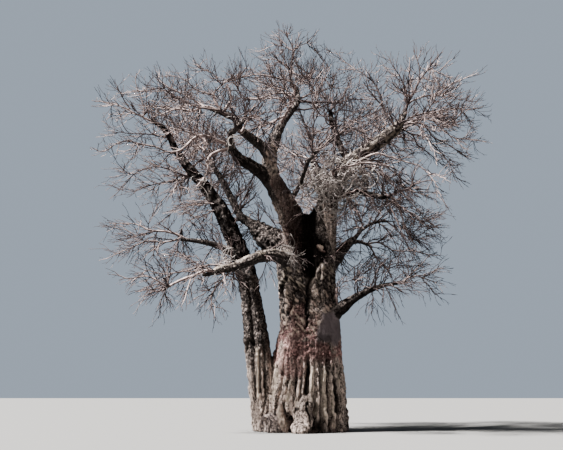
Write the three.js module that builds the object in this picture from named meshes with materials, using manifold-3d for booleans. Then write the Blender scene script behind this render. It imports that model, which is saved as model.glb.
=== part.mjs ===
// A whole baobab in its bare season: a fluted trunk of fused stems, a side stem that rises
// beside it, their boughs, and the masses of fine twigs that the boughs end in.
// Millimetres, +Z up, +X to the viewer's right, +Y away from the viewer.
// The origin is the middle of the flat cut at ground level.

import * as THREE from 'three';
import { mergeVertices } from 'three/addons/utils/BufferGeometryUtils.js';
import Module from 'manifold-3d';

const wasm = await Module();
wasm.setup();

// Driving dimensions, in millimetres
const treeHeight = 18150;
const touchGap = 2; // left between solids that meet
const ringStep = 620; // between the rings of a bough

// The tables below are in metres on a tree of this height
const tableHeight = 18.15;
const unit = treeHeight / tableHeight;

const trunkSegments = 36;
const stemSegments = 14;
const limbSides = 8;
const limbUneven = 0.05; // how far a bough's section departs from round
const collarFade = 1.8; // metres along a bough over which its collar dies away
const fluteLeast = 0.25; // share of the flutes' depth left above fluteTop
const massLumps = { broad: 0.11, fine: 0.08 }; // how far a mass departs from an ellipsoid
const largeMass = 3.3; // a mass longer than this many metres gets a finer surface

const trunk = {
  // height, middle of the section along X, half width
  profile: [
    [0, 0.0, 1.6], [1.2, -0.03, 1.63], [2.8, 0.08, 1.46], [4.2, 0.2, 1.3], [5.4, 0.13, 1.26],
    [6.4, 0.04, 1.28], [7.3, 0.05, 1.2], [7.9, 0.1, 1.0], [8.6, 0.16, 0.78], [9.3, 0.18, 0.58],
  ],
  rings: 20,
  depthRatio: 0.93,
  fluteCount: 11,
  fluteDepth: 0.035,
  fluteTop: 4.4,
  fluteTwist: 0.09,
  cleftAngles: [-87, 80], // the seams where the two fused stems meet, in degrees
  cleftDepth: 0.3,
  cleftSpread: 16,
  cleftStart: 3.6,
  cleftFull: 7.4,
};

// Roots that swell out of the trunk's foot: compass angle and spread in degrees, reach and height
const roots = [
  { angle: -98, spread: 9, reach: 0.28, height: 1.3 },
  { angle: -152, spread: 15, reach: 0.42, height: 0.8 },
  { angle: -48, spread: 12, reach: 0.14, height: 1.1 },
  { angle: 4, spread: 14, reach: 0.1, height: 0.9 },
  { angle: 52, spread: 13, reach: 0.3, height: 1.2 },
  { angle: 103, spread: 12, reach: 0.24, height: 1.4 },
  { angle: 140, spread: 13, reach: 0.3, height: 1.1 },
];

const sideStem = {
  // height, middle along X, middle along Y, radius
  profile: [
    [0, -1.78, -0.3, 0.43], [1.3, -1.86, -0.25, 0.47], [2.9, -2.0, -0.15, 0.56],
    [3.8, -2.09, -0.08, 0.57], [4.7, -2.19, 0.0, 0.49], [5.6, -2.34, 0.1, 0.44],
    [6.8, -2.58, 0.2, 0.42],
  ],
  rings: 9,
  ridgeCount: 4,
  ridgeDepth: 0.06,
};

// Each bough: where its middle line runs, its radius at each point of that line or at its two ends
// alone, and how much wider its collar is. The path starts inside the limb that carries it, and a
// long one ends inside its mass.
const boughs = {
  left_bough: {
    path: [[0.04, -0.1, 6.9], [-0.35, -0.2, 8.27], [-0.91, -0.4, 9.65], [-1.6, -0.45, 11.0]],
    radius: [0.7, 0.4],
    collar: 0.05,
  },
  left_outer_bough: {
    path: [[-1.4, -0.5, 10.5], [-2.1, -0.8, 11.05], [-2.85, -1.25, 11.35], [-3.2, -1.5, 11.75]],
    radius: [0.3, 0.2],
    collar: 0.2,
  },
  left_crook_bough: {
    path: [[-3.2, -1.5, 11.7], [-3.28, -1.7, 12.08], [-3.12, -1.9, 12.33], [-2.86, -2.0, 12.51],
      [-2.6, -2.1, 12.79], [-2.35, -2.1, 13.3]],
    radius: [0.2, 0.17, 0.15, 0.12, 0.1, 0.085],
    collar: 0.0,
  },
  top_bough: {
    path: [[-1.5, -0.4, 10.7], [-1.55, -0.35, 11.74], [-1.33, -0.15, 12.62], [-1.07, 0.1, 13.32],
      [-0.81, 0.25, 13.84], [-0.54, 0.35, 14.19], [-0.28, 0.5, 14.64], [-0.28, 0.6, 15.15],
      [-0.55, 0.6, 15.8]],
    radius: [0.35, 0.33, 0.26, 0.22, 0.19, 0.18, 0.17, 0.13, 0.08],
    collar: 0.1,
  },
  inner_left_bough: {
    path: [[-1.5, -0.35, 11.75], [-2.09, -0.8, 12.3], [-2.69, -1.2, 12.48], [-2.85, -1.4, 12.78],
      [-2.98, -1.5, 13.06], [-3.41, -1.6, 13.25], [-3.88, -1.6, 13.43], [-4.32, -1.6, 13.62],
      [-4.71, -1.6, 13.95]],
    radius: [0.27, 0.22, 0.2, 0.19, 0.18, 0.15, 0.12, 0.09, 0.08],
    collar: 0.1,
  },
  right_stem: {
    path: [[0.72, 0.0, 6.7], [0.93, 0.0, 8.04], [1.03, 0.0, 9.39], [1.2, -0.1, 10.7]],
    radius: [0.56, 0.43, 0.39, 0.34],
    collar: 0.05,
  },
  right_bough: {
    path: [[1.1, -0.1, 10.4], [1.45, -0.15, 10.95], [2.01, -0.3, 11.5], [3.1, -0.6, 12.19],
      [3.96, -0.85, 12.79], [4.27, -0.9, 13.05], [4.36, -0.95, 13.45], [4.55, -1.0, 13.99]],
    radius: [0.34, 0.34, 0.33, 0.31, 0.28, 0.2, 0.12, 0.08],
    collar: 0.05,
  },
  back_right_bough: {
    path: [[2.1, -0.3, 11.41], [1.9, -0.1, 11.75], [1.67, 0.3, 12.35], [1.49, 0.8, 13.14],
      [1.31, 1.3, 13.96], [1.33, 1.6, 14.42], [1.24, 1.55, 14.94]],
    radius: [0.18, 0.17, 0.155, 0.14, 0.13, 0.12, 0.08],
    collar: 0.2,
  },
  middle_right_bough: {
    path: [[0.94, -0.1, 9.6], [1.31, -0.5, 9.89], [1.93, -0.8, 9.95], [2.53, -1.2, 9.84],
      [3.29, -1.8, 9.5], [3.8, -1.85, 9.5]],
    radius: [0.2, 0.165, 0.14, 0.12, 0.095, 0.08],
    collar: 0.3,
  },
  right_rear_bough: {
    path: [[0.5, 0.3, 6.1], [1.21, 0.6, 7.17], [1.73, 0.9, 7.81], [2.11, 1.05, 8.21],
      [2.31, 1.2, 8.38], [2.65, 1.4, 8.79], [3.31, 1.8, 9.25], [4.17, 2.0, 9.32]],
    radius: [0.46, 0.33, 0.27, 0.17, 0.105, 0.085, 0.075, 0.065],
    collar: 0.05,
  },
  right_hanging_bough: {
    path: [[2.02, 1.0, 8.15], [2.78, 1.0, 8.11], [3.24, 0.9, 7.59]],
    radius: [0.1, 0.08, 0.06],
    collar: 0.2,
  },
  lowest_bough: {
    path: [[0.2, -0.1, 3.95], [0.86, -0.3, 4.54], [1.42, -0.7, 4.96], [1.83, -0.9, 5.27],
      [2.44, -1.1, 5.62], [3.24, -1.4, 5.87], [4.02, -1.65, 5.96], [4.43, -1.7, 5.99]],
    radius: [0.45, 0.38, 0.27, 0.21, 0.145, 0.095, 0.075, 0.06],
    collar: 0.1,
  },
  left_low_bough: {
    path: [[-0.4, -0.5, 6.9], [-1.29, -1.1, 7.18], [-1.99, -1.4, 7.04], [-2.8, -1.8, 6.6],
      [-3.4, -2.05, 6.4], [-3.89, -2.2, 6.21], [-4.6, -2.3, 6.15]],
    radius: [0.38, 0.27, 0.25, 0.22, 0.16, 0.1, 0.07],
    collar: 0.1,
  },
  left_rear_bough: {
    path: [[-0.22, 0.1, 7.0], [-0.7, 0.3, 7.5], [-1.3, 0.5, 7.95], [-1.8, 0.65, 8.4],
      [-2.2, 0.8, 8.83], [-2.6, 0.95, 9.08], [-2.92, 1.05, 9.4], [-3.16, 1.15, 9.9],
      [-3.43, 1.3, 10.45], [-3.75, 1.45, 11.1], [-4.2, 1.9, 11.9], [-4.8, 3.1, 13.2]],
    radius: [0.6, 0.68, 0.7, 0.56, 0.3, 0.22, 0.2, 0.175, 0.165, 0.15, 0.13, 0.1],
    collar: 0.0,
  },
  right_back_bough: {
    path: [[0.6, 0.5, 6.9], [1.12, 1.5, 9.37], [1.69, 2.6, 11.35], [2.68, 3.6, 12.92],
      [3.78, 4.2, 13.96]],
    radius: [0.46, 0.14],
    collar: 0.1,
  },
  rear_bough: {
    path: [[0.1, 0.7, 7.0], [0.9, 2.2, 9.9], [1.0, 3.8, 11.9], [0.5, 5.3, 13.4]],
    radius: [0.5, 0.16],
    collar: 0.1,
  },
  rear_low_bough: {
    path: [[0.2, 0.9, 6.4], [0.5, 2.4, 7.9], [0.5, 4.0, 8.9], [0.35, 5.2, 9.4]],
    radius: [0.24, 0.1],
    collar: 0.4,
  },
  side_bough: {
    path: [[-2.45, 0.15, 6.3], [-2.91, 0.3, 7.65], [-3.3, 0.35, 8.56], [-3.72, 0.5, 9.51],
      [-4.0, 0.55, 9.98], [-4.35, 0.6, 10.5], [-5.18, 0.7, 11.43], [-5.55, 0.8, 11.94],
      [-5.87, 0.85, 12.43], [-6.1, 0.9, 12.93], [-6.42, 0.9, 13.45], [-7.0, 0.93, 13.87],
      [-7.48, 0.95, 14.2], [-8.1, 0.95, 14.5]],
    radius: [0.43, 0.42, 0.4, 0.36, 0.32, 0.28, 0.24, 0.2, 0.175, 0.16, 0.135, 0.09, 0.08, 0.07],
    collar: 0.0,
  },
  left_middle_bough: {
    path: [[-2.7, 0.25, 7.1], [-3.43, 0.0, 7.64], [-4.37, -0.3, 7.89], [-5.19, -0.5, 7.96],
      [-6.0, -0.65, 8.0]],
    radius: [0.14, 0.07],
    collar: 0.7,
  },
  front_bough: {
    path: [[-0.85, -0.5, 9.4], [-0.45, -0.8, 9.9], [-0.23, -1.0, 10.25], [0.14, -1.9, 11.09],
      [0.58, -2.4, 11.45], [1.16, -3.0, 11.72], [1.88, -4.0, 11.87]],
    radius: [0.12, 0.105, 0.095, 0.085, 0.08, 0.07, 0.06],
    collar: 0.3,
  },
};

// Each mass of twigs: its middle, its length along the growth, depth and height, how steeply its
// length rises towards +X in degrees, and the boughs that end in it
const masses = {
  side_tip_twigs: {
    middle: [-8.3, 0.9, 14.55], size: [2.9, 2.6, 2.3], rise: -14, ends: ['side_bough'],
  },
  side_shoulder_twigs: { middle: [-6.45, 0.6, 15.0], size: [2.3, 3.0, 2.1], rise: 20, ends: [] },
  side_second_twigs: { middle: [-8.0, 0.6, 12.6], size: [3.0, 2.6, 1.6], rise: -8, ends: [] },
  side_third_twigs: { middle: [-7.3, 0.3, 10.9], size: [3.2, 2.4, 1.9], rise: 6, ends: [] },
  side_hanging_twigs: { middle: [-5.9, -0.3, 9.6], size: [2.4, 2.2, 1.5], rise: 30, ends: [] },
  left_middle_twigs: {
    middle: [-7.0, -0.7, 8.0], size: [3.6, 2.6, 1.9], rise: -4, ends: ['left_middle_bough'],
  },
  left_low_twigs: {
    middle: [-5.7, -2.3, 5.85], size: [3.3, 2.8, 2.6], rise: 18, ends: ['left_low_bough'],
  },
  left_hanging_twigs: { middle: [-3.75, -2.5, 5.2], size: [1.6, 2.0, 1.9], rise: 0, ends: [] },
  left_arch_twigs: { middle: [-4.6, -2.4, 11.3], size: [2.3, 2.6, 2.3], rise: 35, ends: [] },
  left_upper_twigs: {
    middle: [-4.4, -1.2, 14.8], size: [2.6, 3.2, 2.3], rise: -30, ends: ['inner_left_bough'],
  },
  inner_left_twigs: {
    middle: [-2.5, -2.0, 14.3], size: [2.4, 3.2, 2.6], rise: 60, ends: ['left_crook_bough'],
  },
  top_twigs: {
    middle: [-0.6, 0.6, 16.69], size: [3.7, 3.6, 2.8], rise: 8, ends: ['top_bough'],
  },
  top_right_twigs: {
    middle: [1.65, 0.9, 15.8], size: [2.5, 3.0, 2.9], rise: 40, ends: ['back_right_bough'],
  },
  right_rise_twigs: { middle: [3.35, -0.3, 15.0], size: [2.1, 3.0, 3.0], rise: 0, ends: [] },
  right_top_twigs: {
    middle: [5.35, -0.9, 15.0], size: [3.5, 3.2, 2.8], rise: 28, ends: ['right_bough'],
  },
  right_tip_twigs: { middle: [6.85, -0.6, 13.75], size: [2.8, 2.8, 1.8], rise: -25, ends: [] },
  right_sweep_twigs: { middle: [6.45, -0.8, 12.2], size: [3.4, 3.0, 1.7], rise: -6, ends: [] },
  right_low_twigs: {
    middle: [4.95, -1.8, 10.15], size: [3.4, 2.8, 1.8], rise: 14, ends: ['middle_right_bough'],
  },
  right_middle_twigs: { middle: [4.9, -1.6, 8.7], size: [2.3, 2.6, 1.7], rise: -20, ends: [] },
  right_rear_twigs: {
    middle: [5.4, 2.1, 8.8], size: [3.0, 2.8, 2.0], rise: -25, ends: ['right_rear_bough'],
  },
  right_inner_twigs: { middle: [2.3, 2.0, 10.3], size: [2.2, 2.2, 1.6], rise: 20, ends: [] },
  right_hanging_twigs: {
    middle: [4.15, 0.8, 7.15], size: [2.7, 2.2, 1.7], rise: -20, ends: ['right_hanging_bough'],
  },
  lowest_tip_twigs: {
    middle: [5.0, -1.8, 5.95], size: [1.9, 2.2, 1.7], rise: -8, ends: ['lowest_bough'],
  },
  lowest_hanging_twigs: { middle: [3.2, -1.4, 4.95], size: [1.7, 1.8, 1.1], rise: 20, ends: [] },
  front_left_twigs: { middle: [-2.5, -4.9, 12.0], size: [3.2, 3.2, 2.1], rise: 12, ends: [] },
  front_right_twigs: {
    middle: [1.6, -4.9, 11.7], size: [3.4, 3.4, 2.0], rise: -8, ends: ['front_bough'],
  },
  front_far_left_twigs: {
    middle: [-5.4, -4.3, 12.8], size: [2.6, 2.8, 1.9], rise: -15, ends: [],
  },
  front_far_right_twigs: {
    middle: [5.2, -4.4, 12.6], size: [2.6, 2.8, 1.9], rise: 15, ends: [],
  },
  front_top_twigs: { middle: [-0.3, -3.9, 13.7], size: [2.6, 3.0, 1.9], rise: 0, ends: [] },
  rear_left_twigs: {
    middle: [-5.4, 4.4, 14.3], size: [4.0, 3.8, 2.9], rise: -25, ends: ['left_rear_bough'],
  },
  rear_low_left_twigs: { middle: [-5.4, 4.6, 11.5], size: [3.4, 3.2, 2.3], rise: 25, ends: [] },
  rear_right_twigs: {
    middle: [4.6, 4.6, 14.3], size: [4.0, 3.8, 2.9], rise: 25, ends: ['right_back_bough'],
  },
  rear_low_right_twigs: { middle: [4.9, 4.9, 11.4], size: [3.4, 3.2, 2.3], rise: -20, ends: [] },
  rear_hanging_twigs: {
    middle: [0.3, 5.7, 9.6], size: [3.6, 3.0, 2.4], rise: 0, ends: ['rear_low_bough'],
  },
  rear_top_twigs: { middle: [-0.3, 4.0, 16.4], size: [4.2, 3.4, 2.6], rise: 0, ends: [] },
  rear_middle_twigs: {
    middle: [0.0, 6.4, 13.9], size: [4.2, 3.0, 3.2], rise: 0, ends: ['rear_bough'],
  },
};

const smoothstep = (low, high, value) => THREE.MathUtils.smoothstep(value, low, high);

// A hump of height 1 round one compass angle, both in radians
function angularHump(angle, at, spread) {
  const turn = Math.atan2(Math.sin(angle - at), Math.cos(angle - at));
  return Math.exp(-((turn / spread) ** 2));
}

// A closed solid from rings of points, each ring counted anticlockwise seen from its far end
function loft(rings) {
  const count = rings[0].length;
  const positions = [];
  const indices = [];
  for (const ring of rings) {
    for (const point of ring) {
      positions.push(point.x, point.y, point.z);
    }
  }
  for (let ring = 0; ring < rings.length - 1; ring += 1) {
    for (let i = 0; i < count; i += 1) {
      const a = ring * count + i;
      const b = ring * count + ((i + 1) % count);
      indices.push(a, b, b + count, a, b + count, a + count);
    }
  }
  addCap(rings[0], 0, true, positions, indices);
  addCap(rings[rings.length - 1], (rings.length - 1) * count, false, positions, indices);
  const geometry = new THREE.BufferGeometry();
  geometry.setAttribute('position', new THREE.Float32BufferAttribute(positions, 3));
  geometry.setIndex(indices);
  return geometry;
}

function addCap(ring, first, facesBack, positions, indices) {
  const middle = new THREE.Vector3();
  for (const point of ring) {
    middle.addScaledVector(point, 1 / ring.length);
  }
  const hub = positions.length / 3;
  positions.push(middle.x, middle.y, middle.z);
  for (let i = 0; i < ring.length; i += 1) {
    const a = first + i;
    const b = first + ((i + 1) % ring.length);
    indices.push(hub, facesBack ? b : a, facesBack ? a : b);
  }
}

// The row of a height profile at any height, straight between the rows that it lists
function profileAt(profile, height) {
  const last = profile.length - 1;
  let row = 0;
  while (row < last - 1 && height > profile[row + 1][0]) {
    row += 1;
  }
  const share = (height - profile[row][0]) / (profile[row + 1][0] - profile[row][0]);
  return profile[row].map((value, column) => (
    THREE.MathUtils.lerp(value, profile[row + 1][column], share)
  ));
}

function trunkRadius(angle, height, halfWidth) {
  const fade = 1 - smoothstep(0, trunk.fluteTop, height);
  const turn = trunk.fluteCount * (angle + trunk.fluteTwist * height);
  const flute = trunk.fluteDepth * THREE.MathUtils.lerp(fluteLeast, 1, fade) * Math.cos(turn);
  let cleft = 0;
  for (const degrees of trunk.cleftAngles) {
    const at = THREE.MathUtils.degToRad(degrees);
    cleft += angularHump(angle, at, THREE.MathUtils.degToRad(trunk.cleftSpread));
  }
  cleft *= trunk.cleftDepth * smoothstep(trunk.cleftStart, trunk.cleftFull, height);
  let reach = 0;
  for (const root of roots) {
    const at = THREE.MathUtils.degToRad(root.angle);
    const spread = THREE.MathUtils.degToRad(root.spread);
    reach += root.reach * angularHump(angle, at, spread) * Math.exp(-((height / root.height) ** 2));
  }
  return halfWidth * (1 + flute - cleft) + reach;
}

// The trunk's horizontal rings, or the same solid grown outwards as a cutting tool
function trunkGeometry(grow) {
  const top = trunk.profile[trunk.profile.length - 1][0];
  const rings = [];
  for (let level = 0; level <= trunk.rings; level += 1) {
    const height = (top * level) / trunk.rings;
    const [, middle, halfWidth] = profileAt(trunk.profile, height);
    const ring = [];
    for (let i = 0; i < trunkSegments; i += 1) {
      const angle = (2 * Math.PI * i) / trunkSegments;
      const radius = trunkRadius(angle, height, halfWidth) * unit + grow;
      ring.push(new THREE.Vector3(
        middle * unit + radius * Math.cos(angle),
        radius * Math.sin(angle) * trunk.depthRatio,
        height * unit + (level === trunk.rings ? grow : 0),
      ));
    }
    rings.push(ring);
  }
  return loft(rings);
}

function sideStemGeometry(grow) {
  const top = sideStem.profile[sideStem.profile.length - 1][0];
  const rings = [];
  for (let level = 0; level <= sideStem.rings; level += 1) {
    const height = (top * level) / sideStem.rings;
    const [, x, y, radius] = profileAt(sideStem.profile, height);
    const ring = [];
    for (let i = 0; i < stemSegments; i += 1) {
      const angle = (2 * Math.PI * i) / stemSegments;
      const ridge = 1 + sideStem.ridgeDepth * Math.cos(sideStem.ridgeCount * angle + height);
      const reach = radius * ridge * unit + grow;
      ring.push(new THREE.Vector3(
        x * unit + reach * Math.cos(angle),
        y * unit + reach * Math.sin(angle),
        height * unit + (level === sideStem.rings ? grow : 0),
      ));
    }
    rings.push(ring);
  }
  return loft(rings);
}

// How far along the curve, as a share of its length, each of its radii belongs
function stationShares(curve, count) {
  const divisions = (curve.points.length - 1) * 20;
  const lengths = curve.getLengths(divisions);
  return Array.from({ length: count }, (_, i) => (
    lengths[Math.round((i * divisions) / (count - 1))] / lengths[divisions]
  ));
}

function radiusAt(radius, marks, share) {
  let station = 0;
  while (station < marks.length - 2 && share > marks[station + 1]) {
    station += 1;
  }
  const local = (share - marks[station]) / (marks[station + 1] - marks[station]);
  return THREE.MathUtils.lerp(radius[station], radius[station + 1], Math.min(local, 1));
}

// One tapering limb along a smooth curve, with a wider collar where it leaves its parent.
// A cutting tool is grown at its ends too.
function boughGeometry({ path, radius, collar }, grow) {
  const points = path.map((point) => new THREE.Vector3(...point).multiplyScalar(unit));
  const curve = new THREE.CatmullRomCurve3(points, false, 'centripetal');
  const length = curve.getLength();
  const marks = stationShares(curve, radius.length);
  const steps = Math.max(3, Math.round(length / ringStep));
  const frames = curve.computeFrenetFrames(steps, false);
  const rings = [];
  for (let step = 0; step <= steps; step += 1) {
    const share = step / steps;
    const taper = radiusAt(radius, marks, share);
    const swell = 1 + collar * Math.exp(-(share * length) / (collarFade * unit));
    const endward = (step === steps ? grow : 0) - (step === 0 ? grow : 0);
    const centre = curve.getPointAt(share).addScaledVector(frames.tangents[step], endward);
    const ring = [];
    for (let i = 0; i < limbSides; i += 1) {
      const angle = (2 * Math.PI * i) / limbSides;
      const uneven = 1 + limbUneven * Math.sin(3 * angle + step);
      const reach = taper * swell * uneven * unit + grow;
      ring.push(centre.clone()
        .addScaledVector(frames.normals[step], reach * Math.cos(angle))
        .addScaledVector(frames.binormals[step], reach * Math.sin(angle)));
    }
    rings.push(ring);
  }
  return loft(rings);
}

// One closed, uneven lump, its own shape set by its seed
function massGeometry({ middle, size, rise }, seed, grow) {
  const geometry = new THREE.IcosahedronGeometry(1, size[0] > largeMass ? 2 : 1);
  const position = geometry.getAttribute('position');
  const point = new THREE.Vector3();
  for (let i = 0; i < position.count; i += 1) {
    point.fromBufferAttribute(position, i);
    const broad = Math.sin(3.1 * point.x + seed) * Math.cos(2.7 * point.y + 1.7 * seed);
    const fine = Math.sin(4.7 * point.z + 2.3 * seed) * Math.cos(3.9 * point.x - seed);
    point.multiplyScalar(1 + massLumps.broad * broad + massLumps.fine * fine);
    point.set(point.x * size[0], point.y * size[1], point.z * size[2]).multiplyScalar(unit / 2);
    point.setLength(point.length() + grow);
    position.setXYZ(i, point.x, point.y, point.z);
  }
  geometry.rotateY(-THREE.MathUtils.degToRad(rise));
  geometry.translate(middle[0] * unit, middle[1] * unit, middle[2] * unit);
  return geometry;
}

function toSolid(geometry) {
  geometry.deleteAttribute('normal');
  geometry.deleteAttribute('uv');
  const merged = mergeVertices(geometry);
  return new wasm.Manifold(new wasm.Mesh({
    numProp: 3,
    vertProperties: new Float32Array(merged.getAttribute('position').array),
    triVerts: new Uint32Array(merged.getIndex().array),
  }));
}

function toGeometry(solid) {
  const mesh = solid.getMesh();
  const geometry = new THREE.BufferGeometry();
  geometry.setAttribute('position', new THREE.BufferAttribute(mesh.vertProperties, 3));
  geometry.setIndex(new THREE.BufferAttribute(mesh.triVerts, 1));
  geometry.computeVertexNormals();
  return geometry;
}

// A cut can leave crumbs beside the piece itself, so only the largest body is kept
function largestBody(solid) {
  return solid.decompose().reduce((best, body) => (body.volume() > best.volume() ? body : best));
}

function cutAway(solid, tools) {
  return tools.reduce((rest, tool) => rest.subtract(tool), solid);
}

const barkDark = { color: 0x6b5d57, roughness: 0.92, metalness: 0 };
const barkPale = { color: 0xa08d82, roughness: 0.9, metalness: 0 };
const twigGrey = { color: 0x857470, roughness: 0.95, metalness: 0 };

function namedMesh(name, solid, finish) {
  const mesh = new THREE.Mesh(toGeometry(solid), new THREE.MeshStandardMaterial(finish));
  mesh.name = name;
  return mesh;
}

function buildTree() {
  const tree = new THREE.Group();
  const trunkTool = toSolid(trunkGeometry(touchGap));
  tree.add(namedMesh('trunk', toSolid(trunkGeometry(0)), barkPale));
  const woodTools = [trunkTool, toSolid(sideStemGeometry(touchGap))];
  const sideStemSolid = toSolid(sideStemGeometry(0)).subtract(trunkTool);
  tree.add(namedMesh('side_stem', largestBody(sideStemSolid), barkPale));

  const massNames = Object.keys(masses);
  const massTools = massNames.map((name, i) => toSolid(massGeometry(masses[name], i + 1, touchGap)));
  const boughTools = {};
  for (const [name, bough] of Object.entries(boughs)) {
    const endMasses = massTools.filter((tool, i) => masses[massNames[i]].ends.includes(name));
    const solid = cutAway(toSolid(boughGeometry(bough, 0)), [...woodTools, ...endMasses]);
    tree.add(namedMesh(name, largestBody(solid), barkDark));
    boughTools[name] = toSolid(boughGeometry(bough, touchGap));
    woodTools.push(boughTools[name]);
  }

  massNames.forEach((name, i) => {
    const passing = Object.keys(boughTools).filter((bough) => !masses[name].ends.includes(bough));
    const tools = [...passing.map((bough) => boughTools[bough]), ...massTools.slice(0, i)];
    const solid = cutAway(toSolid(massGeometry(masses[name], i + 1, 0)), tools);
    tree.add(namedMesh(name, largestBody(solid), twigGrey));
  });
  return tree;
}

export default buildTree();
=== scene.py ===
import math
import random
from types import SimpleNamespace

import bmesh
import bpy
import numpy as np
from mathutils import Matrix, Vector, noise
from mathutils.kdtree import KDTree


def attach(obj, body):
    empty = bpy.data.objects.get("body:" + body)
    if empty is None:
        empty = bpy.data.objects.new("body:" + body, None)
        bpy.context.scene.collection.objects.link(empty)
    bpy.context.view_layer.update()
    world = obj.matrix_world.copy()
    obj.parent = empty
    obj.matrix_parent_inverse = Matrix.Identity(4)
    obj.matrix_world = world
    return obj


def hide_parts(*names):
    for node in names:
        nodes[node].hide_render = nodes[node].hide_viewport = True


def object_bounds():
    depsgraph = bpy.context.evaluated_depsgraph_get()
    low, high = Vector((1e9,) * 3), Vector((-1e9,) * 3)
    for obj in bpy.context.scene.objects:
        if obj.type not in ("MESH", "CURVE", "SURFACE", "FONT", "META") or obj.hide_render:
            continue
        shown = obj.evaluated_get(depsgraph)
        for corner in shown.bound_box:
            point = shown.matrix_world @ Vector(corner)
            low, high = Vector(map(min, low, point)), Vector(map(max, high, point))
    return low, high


# A bare baobab. Metres, +Z up, and the viewer stands on the -Y side.
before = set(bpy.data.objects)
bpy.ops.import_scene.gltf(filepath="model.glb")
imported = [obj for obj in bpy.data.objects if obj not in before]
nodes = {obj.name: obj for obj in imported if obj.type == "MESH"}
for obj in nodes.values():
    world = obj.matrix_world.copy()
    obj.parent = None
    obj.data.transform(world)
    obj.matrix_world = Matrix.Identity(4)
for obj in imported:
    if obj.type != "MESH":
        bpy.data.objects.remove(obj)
cadBox = [list(corner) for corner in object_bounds()]
body = "root"
massNames = sorted(name for name in nodes if name.endswith("_twigs"))
woodNames = sorted(name for name in nodes if not name.endswith("_twigs"))
print("frame loaded:", len(woodNames), "limbs and", len(massNames), "masses of twigs")


# Camera, light and floor

studio = {
    "eye": (-1.02, -32.0, 1.6),
    "pitch": 12.53,  # degrees above level
    "lens": 47.86,
    "sensor": 36.0,
    "sunTurn": (40.0, 0.0, -75.0),  # degrees, so the light comes from high on the left
    "sunStrength": 29.0,
    "sunSize": 4.0,  # degrees across
    "skyColor": (0.74, 0.84, 1.0),
    "skyStrength": 0.12,
    "backdrop": (0.36, 0.43, 0.52),
    "floorSize": 300.0,
    "floorColor": (0.185, 0.178, 0.168),
    "floorRoughness": 0.9,
    "farthest": 500.0,  # metres that the camera sees
}


def newObject(name, data):
    thing = bpy.data.objects.new(name, data)
    bpy.context.collection.objects.link(thing)
    return thing


def newMaterial(name):
    material = bpy.data.materials.new(name)
    material.use_nodes = True
    return material, material.node_tree, material.node_tree.nodes["Principled BSDF"]


def makeCamera():
    data = bpy.data.cameras.new("photoView")
    data.lens = studio["lens"]
    data.sensor_width = studio["sensor"]
    data.clip_end = studio["farthest"]
    camera = newObject("photoView", data)
    camera.location = studio["eye"]
    camera.rotation_euler = (math.radians(90.0 + studio["pitch"]), 0.0, 0.0)
    bpy.context.scene.camera = camera


def makeSun():
    data = bpy.data.lights.new("softSun", "SUN")
    data.energy = studio["sunStrength"]
    data.angle = math.radians(studio["sunSize"])
    newObject("softSun", data).rotation_euler = [math.radians(turn) for turn in studio["sunTurn"]]


def makeWorld():  # pale light from all round, and a backdrop that only the camera sees
    world = bpy.data.worlds.new("paleStudio")
    world.use_nodes = True
    tree = world.node_tree
    light = tree.nodes["Background"]
    light.inputs["Color"].default_value = (*studio["skyColor"], 1.0)
    light.inputs["Strength"].default_value = studio["skyStrength"]
    backdrop = tree.nodes.new("ShaderNodeBackground")
    backdrop.inputs["Color"].default_value = (*studio["backdrop"], 1.0)
    rays = tree.nodes.new("ShaderNodeLightPath")
    mix = tree.nodes.new("ShaderNodeMixShader")
    tree.links.new(rays.outputs["Is Camera Ray"], mix.inputs["Fac"])
    tree.links.new(light.outputs["Background"], mix.inputs[1])
    tree.links.new(backdrop.outputs["Background"], mix.inputs[2])
    tree.links.new(mix.outputs["Shader"], tree.nodes["World Output"].inputs["Surface"])
    bpy.context.scene.world = world


def makeFloor():
    half = studio["floorSize"] / 2
    mesh = bpy.data.meshes.new("studioFloor")
    corners = [(-half, -half, 0.0), (half, -half, 0.0), (half, half, 0.0), (-half, half, 0.0)]
    mesh.from_pydata(corners, [], [(0, 1, 2, 3)])
    material, _, shader = newMaterial("paleFloor")
    shader.inputs["Base Color"].default_value = (*studio["floorColor"], 1.0)
    shader.inputs["Roughness"].default_value = studio["floorRoughness"]
    mesh.materials.append(material)
    newObject("studioFloor", mesh)


makeCamera()
makeSun()
makeWorld()
makeFloor()
print("studio ready")


# Bark materials

grainLook = {
    "sockets": (("Grain", 9.0), ("Stretch", 0.22), ("Blotch", 1.3), ("Fleck", 11.0)),
    "streaks": (5.0, 0.65),  # detail and roughness of each noise
    "blotches": (4.0, 0.6),
    "flecks": (4.0, 0.7),
    "warp": 0.16,  # how far the flecks bend the plates
    "platesPerGrain": 1.15,
    "plateEdge": 0.16,
    "plateHeight": 0.22,
    "ramps": {"Streak": (0.42, 0.58), "Blotch": (0.40, 0.62), "Speckle": (0.43, 0.57)},
}


def newGroup(name, inputs, outputs):
    group = bpy.data.node_groups.new(name, "ShaderNodeTree")
    for label, default in inputs:
        socket = group.interface.new_socket(label, in_out="INPUT", socket_type="NodeSocketFloat")
        socket.default_value = default
    for label in outputs:
        group.interface.new_socket(label, in_out="OUTPUT", socket_type="NodeSocketFloat")
    return group, group.nodes.new("NodeGroupInput"), group.nodes.new("NodeGroupOutput")


def noiseNode(tree, vector, scale, detail, roughness):
    node = tree.nodes.new("ShaderNodeTexNoise")
    node.inputs["Detail"].default_value = detail
    node.inputs["Roughness"].default_value = roughness
    tree.links.new(vector, node.inputs["Vector"])
    tree.links.new(scale, node.inputs["Scale"])
    return node


def fillSockets(tree, sockets, values):  # each value is a constant or an output to link
    for socket, value in zip(sockets, values):
        if isinstance(value, (int, float, tuple)):
            socket.default_value = value
        else:
            tree.links.new(value, socket)


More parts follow.
